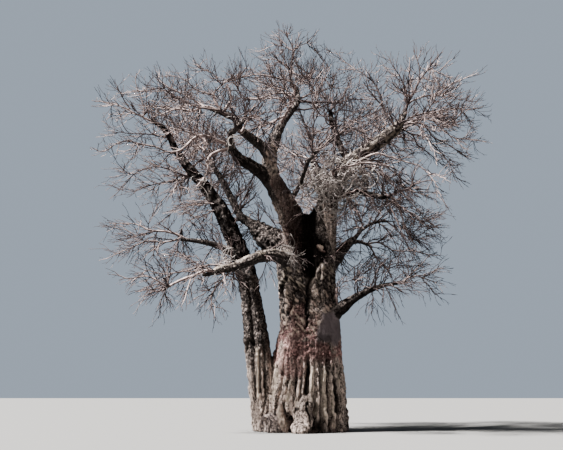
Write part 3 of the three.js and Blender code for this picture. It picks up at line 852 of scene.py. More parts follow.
def raiseLumps(part):
    look, marks = trunkShape["lumps"], part.marks
    for turn, level, wide, tall, push, tilt, shows in trunkLumps:
        across, above = turnedBy(part.angle, turn) * part.radius, part.height - level
        lean = math.radians(tilt)
        u = (across * math.cos(lean) + above * math.sin(lean)) / wide
        v = (above * math.cos(lean) - across * math.sin(lean)) / tall
        u = u / (1 - look["taper"] * np.clip(v, -1.0, 1.0))
        dome = np.clip(1 - u * u - v * v, 0.0, 1.0)
        calmed = look["calmed"] * smoothStep(0.0, 0.4, dome) * (shows is not None)
        part.offset = part.offset * (1 - calmed) + push * dome ** look["roundness"]
        if push > 0 and shows:
            # painted shade in the moat round a raised lump
            moat = bell(np.hypot(u, v) - look["moatAt"], look["moatWidth"])
            part.offset -= look["moatDepth"] * moat
            marks["paintedShadeAndDarkBark"] *= 1 - smoothStep(0.0, 0.3, dome)
            raiseMark(marks, "paintedShadeAndDarkBark", look["moatDark"] * moat)
        # a sunken lump is painted with shade
        if shows == "paintedShadeAndDarkBark":
            raiseMark(marks, "paintedShadeAndDarkBark", smoothStep(0.0, 0.5, dome))
        elif shows == "grey":
            raiseMark(marks, "smooth", look["grey"] * smoothStep(0.05, 0.3, dome))
        elif shows:
            # the dome shows its colour and is painted paler, partly its own colour and partly painted light
            # on its shaded side
            raiseMark(marks, shows, look["shown"] * smoothStep(0.05, 0.3, dome))
            raiseMark(marks, "pale", look["shown"] * smoothStep(0.1, 0.5, dome))
            marks["smooth"] *= 1 - smoothStep(0.05, 0.3, dome)


frontRoot = {  # the root that stands out in front
    "turn": -89,  # degrees round the trunk
    "height": 1.6,
    "drift": 0.10,  # metres sideways from top to foot
    "reachAt": (0.0, 0.1, 0.2, 0.35, 0.6, 1.0),  # share of the way down
    "reach": (0.04, 0.16, 0.28, 0.34, 0.27, 0.15),  # half its width there
    "push": 0.62,
    "calmed": 0.8,
    "moatWidth": 0.05,
    "moatDepth": 0.08,
    "dark": 0.8,
    "paintedLighting": (0.15, 0.25, 0.65),  # how far it darkens towards the shade colour: all over, above its foot, and, as painted shade, in its cracks
}


def raiseFrontRoot(part):
    look, marks = frontRoot, part.marks
    rise = np.clip(1 - part.height / look["height"], 0.0, 1.0)
    across = turnedBy(part.angle, look["turn"]) * part.radius + look["drift"] * rise
    reach = np.interp(rise, look["reachAt"], look["reach"])
    dome = np.clip(1 - (across / reach) ** 2, 0.0, 1.0)
    root = dome ** 0.6 * rise ** 0.7
    moat = bell(np.abs(across) - reach - look["moatWidth"], look["moatWidth"]) * smoothStep(0.0, 0.1, rise)
    cracks = 1 - smoothStep(-0.4, -0.1, noiseOf("rootCracks", part.points * (1.0, 1.0, 0.4)))
    push = look["push"] + noiseOf("rootKnobs", part.points)
    part.offset = part.offset * (1 - look["calmed"] * smoothStep(0.0, 0.3, root)) + push * root
    part.offset -= look["moatDepth"] * moat
    marks["paintedShadeAndDarkBark"] *= 1 - smoothStep(0.0, 0.25, root)
    # painted shade in the moat round the root and in its cracks; the root also darkens all over and above its
    # foot
    allOver, raised, cracked = look["paintedLighting"]
    paintedLighting = allOver + raised * smoothStep(0.3, 0.6, part.height) + cracked * cracks
    raiseMark(marks, "paintedShadeAndDarkBark", np.maximum(look["dark"] * moat, paintedLighting * smoothStep(0.0, 0.25, root)))


def calmPatch(part, ragged):  # the smooth patch, whose edge at the side is the more ragged
    loose = 0.6 + 2.2 * smoothStep(-0.8, -0.3, part.angle)
    calm = window(part.angle + ragged * loose, part.height + ragged * (0.4 + loose),
                  *trunkShape["calmPatch"])
    raiseMark(part.marks, "smooth", calm)
    return calm


def paintStreaks(part):
    look, marks = trunkShape["streaks"], part.marks
    flecked = smoothStep(-0.3, 0.2, noiseOf("flecks", part.points * (1.0, 1.0, 0.5)))
    for turn, foot, top, wide, shows in trunkStreaks:
        streak = bell(turnedBy(part.angle, turn) * part.radius, wide)
        streak *= between(part.height, (foot - 0.1, foot + 0.2), (top - 0.3, top))
        if shows == "paintedShadeAndDarkBark":
            raiseMark(marks, "paintedShadeAndDarkBark", look["dark"] * streak)
        else:
            marks["paintedShadeAndDarkBark"] *= 1 - look["clears"] * streak
            raiseMark(marks, shows, streak * (look["plain"] + look["flecked"] * flecked))


def paintStrippedBand(part):
    band = trunkShape["stripped"]
    torn = between(part.height, (band["foot"], band["foot"] + 0.6), (band["top"] - 1.2, band["top"]))
    torn *= smoothStep(-0.6, 0.0, noiseOf("strippedEdge", part.points))
    raiseMark(part.marks, "stripped", torn * band["share"])


slantPlates = {  # bark plates parted by cracks that slant down to the right, with painted shade in the cracks
    "grid": ((2.6, 7.4, 0.0), (0.0, 0.0, 5.0), (-2.6, 7.4, 0.0)),
    "foot": (3.6, 4.1),
    "top": (6.5, 7.2),
    "crackDepth": 0.035,
    "dark": 0.9,
    "pale": 0.5,
    "stripped": 0.9,
    "strippedTop": (5.4, 6.0),
}


def carvePlates(part, calm):
    look, marks = slantPlates, part.marks
    plates = noiseOf("plates", part.points @ np.array(look["grid"]))
    cracked = between(part.height, look["foot"], look["top"]) * (1 - calm)
    crack = np.clip(1 - np.abs(plates) * 6.0, 0.0, 1.0)
    shade = np.clip(1.2 - np.abs(plates) * 7.0, 0.0, 1.0)
    part.offset -= look["crackDepth"] * cracked * crack
    raiseMark(marks, "paintedShadeAndDarkBark", look["dark"] * cracked * shade)
    cracked *= smoothStep(0.12, 0.35, plates)
    raiseMark(marks, "pale", look["pale"] * cracked)
    cracked *= 1 - smoothStep(*look["strippedTop"], part.height)
    raiseMark(marks, "stripped", look["stripped"] * cracked)


def trunkRelief(points, angle, radius):
    offset, crack, low = flutes(angle, points[:, 2], radius)
    marks = {key: np.zeros(len(angle)) for key in ("stripped", "smooth", "pale", "tan")}
    part = SimpleNamespace(points=points, angle=angle, radius=radius, height=points[:, 2],
                           offset=offset, marks={"paintedShadeAndDarkBark": crack, **marks})
    rounds = [np.cos(angle) * radius * 5.5, np.sin(angle) * radius * 5.5, part.height * 0.7]
    part.offset += trunkShape["ribs"] * noiseOf("ribs", np.stack(rounds, axis=1)) * (0.5 + 0.5 * low)
    ragged = noiseOf("ragged", points)
    carveCuts(part)
    raiseLips(part, ragged)
    raiseCowls(part)
    raiseLumps(part)
    raiseFrontRoot(part)
    calm = calmPatch(part, ragged)
    paintStreaks(part)
    paintStrippedBand(part)
    carvePlates(part, calm)
    for shows, strength, turns, levels in trunkPatches:
        inside = window(angle + ragged, part.height + 2 * ragged, turns, levels)
        raiseMark(part.marks, shows, strength * inside)
    part.marks["stripped"] *= 1 - part.marks["smooth"]
    return part.offset, part.marks, calm


# Painted shade: how far each of these limbs darkens towards the dark shade colour
limbShade = {
    "side_bough": 0.93, "left_rear_bough": 0.75, "back_right_bough": 0.97, "rear_bough": 0.9,
    "left_outer_bough": 0.7, "inner_left_bough": 0.3, "left_bough": 0.15, "right_back_bough": 0.7,
    "right_bough": 0.03, "lowest_bough": 0.75, "left_low_bough": 0.3, "middle_right_bough": 0.85,
    "right_rear_bough": 0.6,
}

# The recess where the two stems part, painted with shadow where it faces the front: height, left edge and
# right edge
recess = {
    "rows": ((6.1, 0.04, 0.30), (6.6, -0.12, 0.44), (7.0, -0.3, 0.95), (7.4, -0.62, 1.1), (7.8, -0.85, 0.95),
             (8.2, -0.95, 0.5), (8.6, -0.90, 0.5), (9.0, -0.75, 0.54), (9.4, -0.55, 0.56), (9.7, -0.2, 0.4)),
    "edge": 0.14,
    "depth": 0.12,
    "dark": (0.88, 0.1),  # painted shadow: all over, and what is added to the right
    "darkFrom": (-0.5, 0.1),
    "stripped": 0.4,
    "strippedLeftOf": -0.1,
    "nub": {  # a worn, pinkish spot with a painted highlight where it catches the light
        "middle": (0.68, -0.62, 7.52), "reach": (0.30, 0.40, 0.13), "tilt": 38, "within": 0.4,
        "stripped": 0.7, "pale": 0.6},
}

# Knobs on the boughs: middle, reach and push in metres
knobs = [
    ((-2.04, 0.15, 7.86), 0.30, 0.14), ((-1.55, -0.05, 8.05), 0.28, 0.10), ((-1.26, -0.1, 7.8), 0.26, 0.12),
    ((-1.0, -0.2, 7.45), 0.28, 0.10), ((-1.8, 0.2, 8.62), 0.30, 0.10), ((-1.3, 0.1, 8.5), 0.28, 0.08),
    ((0.12, -0.30, 9.3), 0.26, -0.26), ((0.42, -0.25, 9.35), 0.28, 0.24), ((-0.14, -0.42, 9.25), 0.14, 0.06),
    ((3.95, -0.85, 12.82), 0.36, 0.05), ((-3.55, -2.1, 6.45), 0.32, 0.06), ((-6.42, 0.9, 13.5), 0.25, 0.03),
    ((-3.25, -1.55, 11.8), 0.30, 0.05), ((-0.3, 0.5, 14.75), 0.26, 0.05), ((2.1, 1.05, 8.2), 0.3, 0.05),
]


skinGroups = {
    "trunk_and_side_stem_bark": ("trunk_bark", ("trunk", "side_stem")),
    "left_boughs_bark": ("bough_bark", (
        "left_bough", "left_outer_bough", "left_crook_bough", "top_bough", "inner_left_bough",
        "left_low_bough", "left_rear_bough", "side_bough", "left_middle_bough", "front_bough")),
    "right_boughs_bark": ("bough_bark", (
        "right_stem", "right_bough", "back_right_bough", "middle_right_bough", "right_rear_bough",
        "right_hanging_bough", "lowest_bough", "right_back_bough", "rear_bough", "rear_low_bough")),
}


def settledSkin():  # the voxel skin with filled joints, and the limb that each point belongs to
    mesh = remeshed(joinedWood())
    points, normals, edges = meshArrays(mesh)
    print("skin remeshed:", len(mesh.polygons), "faces")
    owner, place, apart, thinner = nearestLimb(points)
    reach = np.clip(thinner * skin["fillet"], *skin["filletReach"])
    blend = np.clip(1 - apart / reach, 0.0, 1.0)
    points = points + normals * (reach * skin["filletPush"] * blend ** 2)[:, None]
    points = relax(points, edges, smoothStep(0.05, 0.5, blend)[:, None] * skin["filletRelax"],
                   skin["filletRounds"])
    mesh.vertices.foreach_set("co", points.ravel())
    mesh.update()
    return mesh, owner, place, apart


def skinState(mesh, owner, place):  # where each point lies on its limb
    points, normals, _ = meshArrays(mesh)
    away, axis = np.zeros((2, *points.shape))
    along, girth = np.zeros((2, len(points)))
    for index, name in enumerate(woodNames):
        mine = owner == index
        limb, spot = limbs[name], place[mine]
        away[mine] = points[mine] - limb["line"][spot]
        axis[mine] = limb["dir"][spot]
        along[mine] = limb["at"][spot] + np.sum(away[mine] * limb["dir"][spot], axis=1)
        girth[mine] = limb["girth"][spot]
    away -= axis * np.sum(away * axis, axis=1)[:, None]
    return SimpleNamespace(points=points, normals=normals, height=points[:, 2], owner=owner,
                           away=away, axis=axis, along=along, girth=girth)


def on(whole, name):
    return whole.owner == woodNames.index(name)


def angleRound(whole, mine):
    return np.arctan2(whole.away[mine, 1], whole.away[mine, 0])


def ball(points, middle, reach):  # 1 at the middle of an ellipsoid, 0 on its surface, less outside
    return 1 - (((points - middle) / reach) ** 2).sum(axis=1)


def addBaseRelief(whole):
    flow = whole.away * 3.0 + whole.axis * (whole.along * 0.8)[:, None]
    furrow = np.clip(1 - np.abs(noiseOf("furrow", flow)) * 2.6, 0.0, 1.0) ** 2
    whole.rubble = noiseOf("rubble", whole.points)
    whole.wrinkle = noiseOf("wrinkle", whole.away * 1.2 + whole.axis * (whole.along * 6.0)[:, None])
    size = np.clip(whole.girth / skin["fullReliefGirth"], skin["leastRelief"], 1.0)
    whole.offset = (skin["rubbleDepth"] * whole.rubble - skin["furrowDepth"] * furrow
                    + skin["wrinkleDepth"] * whole.wrinkle) * size
    # painted shade in the furrows and on the low spots of the relief
    low = 1 - smoothStep(-0.45, 0.0, whole.rubble)
    whole.marks = {"paintedShadeAndDarkBark": np.maximum(furrow * skin["furrowDark"], low * skin["lowDark"])}
    for key in ("tan", "stripped", "smooth", "pale"):
        whole.marks[key] = np.zeros(len(whole.points))


def tanBelow(whole, mine, ramp):  # 1 where the bark is tan, with a ragged upper edge
    return 1 - smoothStep(*ramp, whole.height[mine] + noiseOf("tanEdge", whole.points[mine]))


def finishTrunk(whole):
    mine, marks = on(whole, "trunk"), whole.marks
    relief, painted, calm = trunkRelief(whole.points[mine], angleRound(whole, mine), whole.girth[mine])
    whole.offset[mine] = whole.offset[mine] * (1 - trunkShape["calmShare"] * calm) + relief
    marks["paintedShadeAndDarkBark"][mine] *= trunkShape["plainDark"] * (1 - calm)
    raiseMark(marks, "paintedShadeAndDarkBark", painted["paintedShadeAndDarkBark"], mine)
    for key in ("stripped", "smooth", "pale"):
        marks[key][mine] = painted[key]
    marks["tan"][mine] = np.maximum(tanBelow(whole, mine, trunkShape["tan"]), painted["tan"])


sideStemShape = {
    "radius": 0.5,
    "cuts": (  # path in degrees and heights, and depth
        (((-102, 3.5), (-107, 4.1), (-105, 4.8), (-97, 5.4), (-94, 6.2)), 0.13),
        (((70, 2.4), (76, 4.6), (72, 6.4)), 0.08),
        (((-150, 3.15), (-140, 3.5), (-124, 3.68), (-108, 3.5), (-102, 3.2)), 0.12),
        (((-84, 1.6), (-82, 3.2)), 0.07), (((-112, 1.2), (-110, 3.1)), 0.06),
        (((-60, 1.0), (-57, 3.4)), 0.07), (((150, 0.9), (155, 3.0)), 0.07),
    ),
    "cutWidth": (0.03, 0.45),  # the least, and what is added for each metre of depth
    "cutDark": 0.95,
    "streak": ((-90, 3.3), (-89, 2.7), (-94, 2.1), (-98, 1.4)),  # a pale raised streak
    "streakWidth": 0.05,
    "streakHeight": 0.03,
    "streakPale": 0.95,
    "tan": (1.8, 3.8),  # heights over which the tan ends
    "shadow": ((-72, 20), (2.75, 7.0)),  # degrees and heights of the painted shadow on its right side
    "shadowDark": 0.7,
    "dark": (0.18, 0.4),  # all over, and what is added above
    "darkFrom": (3.6, 5.5),
}


def finishSideStem(whole):
    look, marks, mine = sideStemShape, whole.marks, on(whole, "side_stem")
    angle, height = angleRound(whole, mine), whole.height[mine]
    least, more = look["cutWidth"]
    for path, depth in look["cuts"]:
        gap, _ = pathGap(angle, height, path, look["radius"])
        cut = bell(gap, least + depth * more)
        whole.offset[mine] -= depth * cut
        # painted shade in the cuts
        raiseMark(marks, "paintedShadeAndDarkBark", look["cutDark"] * cut, mine)
    gap, _ = pathGap(angle, height, look["streak"], look["radius"])
    streak = bell(gap, look["streakWidth"])
    whole.offset[mine] += look["streakHeight"] * streak
    marks["paintedShadeAndDarkBark"][mine] *= 1 - streak
    marks["pale"][mine] = look["streakPale"] * streak
    marks["tan"][mine] = tanBelow(whole, mine, look["tan"])
    # painted shadow on the stem's right side; the stem also darkens all over, and more above
    allOver, above = look["dark"]
    shadow = np.maximum(look["shadowDark"] * window(angle, height, *look["shadow"]),
                        allOver + above * smoothStep(*look["darkFrom"], height))
    raiseMark(marks, "paintedShadeAndDarkBark", shadow * (1 - streak), mine)


# Spots of the bark that differ, and a patch of painted light: middle, reach and how strongly each shows
spots = {
    "mound": {"middle": (-1.5, -1.05, 0.1), "reach": (0.55, 0.8, 0.8), "smooth": 0.45, "paintedShadeAndDarkBark": 0.35},
    "paintedLightPatch": {"middle": (-1.42, -0.75, 11.6), "reach": (0.34, 0.8, 1.05), "stripped": 0.5,
                  "pale": 0.4, "clears": 0.9},
}


def paintMound(whole):  # the grey mound at the foot between trunk and side stem
    look, marks = spots["mound"], whole.marks
    mound = np.clip(ball(whole.points, look["middle"], look["reach"]), 0.0, 1.0)
    mound = smoothStep(0.0, 0.35, mound)
    marks["smooth"] = np.maximum(marks["smooth"] * (1 - mound), look["smooth"] * mound)
    raiseMark(marks, "paintedShadeAndDarkBark", look["paintedShadeAndDarkBark"] * mound * smoothStep(-0.1, 0.35, whole.height))


def paintLightPatch(whole):  # painted light: a pale, pinkish mottled patch on the top bough's left side
    look, marks = spots["paintedLightPatch"], whole.marks
    paintedLighting = ball(whole.points, look["middle"], look["reach"])
    near = paintedLighting > 0
    grit = noiseOf("paintedLightPatch", whole.points[near] * (1.0, 1.0, 0.5))
    paintedLighting[near] = smoothStep(0.0, 0.4, paintedLighting[near]) * smoothStep(-0.3, 0.3, grit)
    paintedLighting = np.clip(paintedLighting, 0.0, 1.0)
    raiseMark(marks, "stripped", look["stripped"] * paintedLighting)
    raiseMark(marks, "pale", look["pale"] * paintedLighting)
    marks["paintedShadeAndDarkBark"] *= 1 - look["clears"] * paintedLighting


boughLook = {
    "rightStem": {"tan": 0.8, "dark": 0.9},
    "rightBough": {"pale": 0.15, "clears": 0.6, "dark": 0.6},
    "leftLow": {"pale": 0.55, "clears": 0.7},
    "left": {"foot": (7.7, 8.2), "top": (10.4, 10.9), "litStripTop": (9.2, 9.9), "stripped": 0.3,
             "tan": 0.5, "dark": 0.8},
    "burl": {"top": 9.0, "rough": 0.05, "dark": (0.5, 0.45)},
}


def paintRightBoughs(whole):  # the stem's pale front and painted shade on its left side, and the bough's grit
    look, marks, mine = boughLook["rightStem"], whole.marks, on(whole, "right_stem")
    side = whole.away[mine, 0] / whole.girth[mine]
    marks["tan"][mine] = look["tan"] * between(side, (-0.95, -0.6), (0.3, 0.9))
    raiseMark(marks, "paintedShadeAndDarkBark", look["dark"] * (1 - smoothStep(-0.9, -0.55, side)), mine)
    look, mine = boughLook["rightBough"], on(whole, "right_bough")
    grit = smoothStep(-0.25, 0.3, noiseOf("rightBough", whole.points[mine]))
    raiseMark(marks, "pale", look["pale"] * grit, mine)
    marks["paintedShadeAndDarkBark"][mine] *= 1 - look["clears"] * grit
    raiseMark(marks, "paintedShadeAndDarkBark", look["dark"] * (1 - grit), mine)


def paintLeftBoughs(whole):  # painted light on the low bough's top and on the bare bough's left strip, a darker bare brown patch, and the rough burl
    look, marks = boughLook["leftLow"], whole.marks
    lit = on(whole, "left_low_bough") * smoothStep(0.5, 0.95, whole.normals[:, 2] + 0.8 * whole.rubble)
    raiseMark(marks, "pale", look["pale"] * lit)
    marks["paintedShadeAndDarkBark"] *= 1 - look["clears"] * lit
    look, mine = boughLook["left"], on(whole, "left_bough")
    side = whole.away[mine, 0] / whole.girth[mine] + 0.25 * whole.rubble[mine]
    brown = smoothStep(-0.55, -0.25, side) * between(whole.height[mine], look["foot"], look["top"])
    # painted light: the left strip, which catches the sun, loses the dark mark and turns tan
    paintedLighting = (1 - smoothStep(-0.75, -0.5, side)) * (1 - smoothStep(*look["litStripTop"], whole.height[mine]))
    marks["stripped"][mine] = look["stripped"] * brown
    marks["tan"][mine] = look["tan"] * (brown + paintedLighting)
    marks["paintedShadeAndDarkBark"][mine] *= 1 - paintedLighting
    # the bare patch darkens, partly its own dark brown and partly painted shade
    raiseMark(marks, "paintedShadeAndDarkBark", look["dark"] * brown, mine)
    look = boughLook["burl"]
    mine = on(whole, "left_rear_bough") & (whole.height < look["top"])
    whole.offset[mine] += look["rough"] * whole.rubble[mine]
    allOver, inGrit = look["dark"]
    grit = 1 - smoothStep(-0.35, 0.1, noiseOf("burl", whole.points[mine]))
    marks["paintedShadeAndDarkBark"][mine] = allOver + inGrit * grit


def carveRecess(whole):  # gives how much painted shadow the recess has at each point
    marks, across, depthwise = whole.marks, whole.points[:, 0], whole.points[:, 1]
    levels, left, right = np.array(recess["rows"]).T
    leftGap = across - np.interp(whole.height, levels, left)
    rightGap = np.interp(whole.height, levels, right) - across
    inward = np.minimum(leftGap, rightGap) + 0.08 * whole.wrinkle
    facing = (1 - smoothStep(-0.1, 0.3, whole.normals[:, 1])) * (1 - smoothStep(1.5, 2.0, depthwise))
    dark = smoothStep(-recess["edge"], recess["edge"], inward) * facing
    dark *= between(whole.height, (levels[0] - 0.1, levels[0] + 0.3), (levels[-1] - 0.2, levels[-1] + 0.2))
    dark[on(whole, "left_low_bough")] = 0.0
    look = recess["nub"]
    tilt = Matrix.Rotation(math.radians(look["tilt"]), 3, "Y")
    inside = ball((whole.points - look["middle"]) @ np.array(tilt), (0.0, 0.0, 0.0), look["reach"])
    nub = np.clip(inside + 0.5 * whole.rubble, 0.0, 1.0)
    nub *= (np.abs(whole.points - look["middle"]) < look["within"]).all(axis=1)
    dark *= 1 - smoothStep(0.0, 0.3, nub)
    raiseMark(marks, "stripped", look["stripped"] * smoothStep(0.0, 0.3, nub))
    raiseMark(marks, "pale", look["pale"] * smoothStep(0.1, 0.6, nub))
    marks["paintedShadeAndDarkBark"] *= 1 - smoothStep(0.0, 0.3, nub)
    raiseMark(marks, "stripped", recess["stripped"] * dark * (across < recess["strippedLeftOf"]))
    whole.offset -= recess["depth"] * dark
    return dark


def barkSkin():
    mesh, owner, place, apart = settledSkin()
    whole = skinState(mesh, owner, place)
    addBaseRelief(whole)
    finishTrunk(whole)
    finishSideStem(whole)
    paintMound(whole)
    for name, shade in limbShade.items():
        mine = on(whole, name)
        raiseMark(whole.marks, "paintedShadeAndDarkBark", shade * (1 + 0.6 * whole.rubble[mine]), mine)
    paintRightBoughs(whole)
    paintLightPatch(whole)
    paintLeftBoughs(whole)
    dark = carveRecess(whole)
    for middle, reach, push in knobs:
        whole.offset += push * np.clip(ball(whole.points, middle, reach), 0.0, 1.0)
    seam = smoothStep(0.0, skin["seamFade"], apart)
    relief = whole.offset * (skin["seamRelief"] + (1 - skin["seamRelief"]) * seam)
    points = whole.points + whole.normals * relief[:, None]
    points[:, 2] = np.maximum(points[:, 2], 0.0)
    mesh.vertices.foreach_set("co", points.ravel())
    mesh.update()
    # the recess's painted shadow, stronger to the right, joins the dark mark
    least, more = recess["dark"]
    dark *= least + more * smoothStep(*recess["darkFrom"], points[:, 0])
    shade = skin["seamDark"] + (1 - skin["seamDark"]) * seam
    whole.marks["paintedShadeAndDarkBark"] = np.maximum(whole.marks["paintedShadeAndDarkBark"] * shade, dark)
    return mesh, owner, whole.marks


def addPiece(name, mesh, replaced):
    piece = newObject(name, mesh)
    mesh.name = name
    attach(piece, body)
    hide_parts(*replaced)


def groupOfFaces(faces, edges, owner):
    groupOf = np.zeros(len(woodNames), dtype=int)
    for index, (_, members) in enumerate(skinGroups.values()):
        for name in members:
            groupOf[woodNames.index(name)] = index
    label = np.zeros((len(owner), len(skinGroups)))
    label[np.arange(len(owner)), groupOf[owner]] = 1.0
    label = relax(label, edges, 0.5, skin["borderRounds"])
    return label[faces].sum(axis=1).argmax(axis=1)


def openRims(faces, count):  # the open borders of some faces, each as a list of its edges
    heads, tails = faces.ravel(), np.roll(faces, -1, axis=1).ravel()
    border = ~np.isin(heads * count + tails, tails * count + heads)
    rim = list(zip(heads[border], tails[border]))
    parent = {vertex: vertex for edge in rim for vertex in edge}

    def root(vertex):
        while parent[vertex] != vertex:
            parent[vertex] = parent[parent[vertex]]
            vertex = parent[vertex]
        return vertex

    for head, tail in rim:
        parent[root(head)] = root(tail)
    loops = {}
    for head, tail in rim:
        loops.setdefault(root(head), []).append((head, tail))
    return list(loops.values())


def splitSkin(mesh, owner, marks):
    points, normals, edges = meshArrays(mesh)
    faces = readArray(mesh.loops, "vertex_index", 1, int).reshape(-1, 4)
    groups = groupOfFaces(faces, edges, owner)
    for index, (name, (slotName, members)) in enumerate(skinGroups.items()):
        mine = faces[groups == index]
        rims = openRims(mine, len(points))
        used, local = np.unique(mine, return_inverse=True)
        at = {vertex: i for i, vertex in enumerate(used)}
        centres, caps = [], []
        for rim in rims:
            around = sorted({vertex for edge in rim for vertex in edge})
            caps += [(at[tail], at[head], len(used) + len(centres)) for head, tail in rim]
            sunk = normals[around].mean(axis=0) * skin["capSunk"]
            centres.append(points[around].mean(axis=0) - sunk)
        allPoints = np.concatenate([points[used], np.reshape(centres, (-1, 3))])
        allNormals = np.concatenate([normals[used], np.tile((0.0, 0.0, 1.0), (len(centres), 1))])
        piece = bpy.data.meshes.new(name)
        piece.from_pydata(allPoints.tolist(), [], local.reshape(mine.shape).tolist() + caps)
        for key, values in marks.items():
            full = np.zeros(len(allPoints), dtype=np.float32)
            full[:len(used)] = values[used]
            piece.attributes.new(key, "FLOAT", "POINT").data.foreach_set("value", full)
        piece.shade_smooth()
        piece.normals_split_custom_set_from_vertices(allNormals.tolist())
        piece.materials.append(trunkBark)
        addPiece(name, piece, members)
        print(name, "quads", len(mine), "caps", len(caps), "rims", len(rims))


splitSkin(*barkSkin())
print("bark skin ready")


# Branches and twigs, level by level

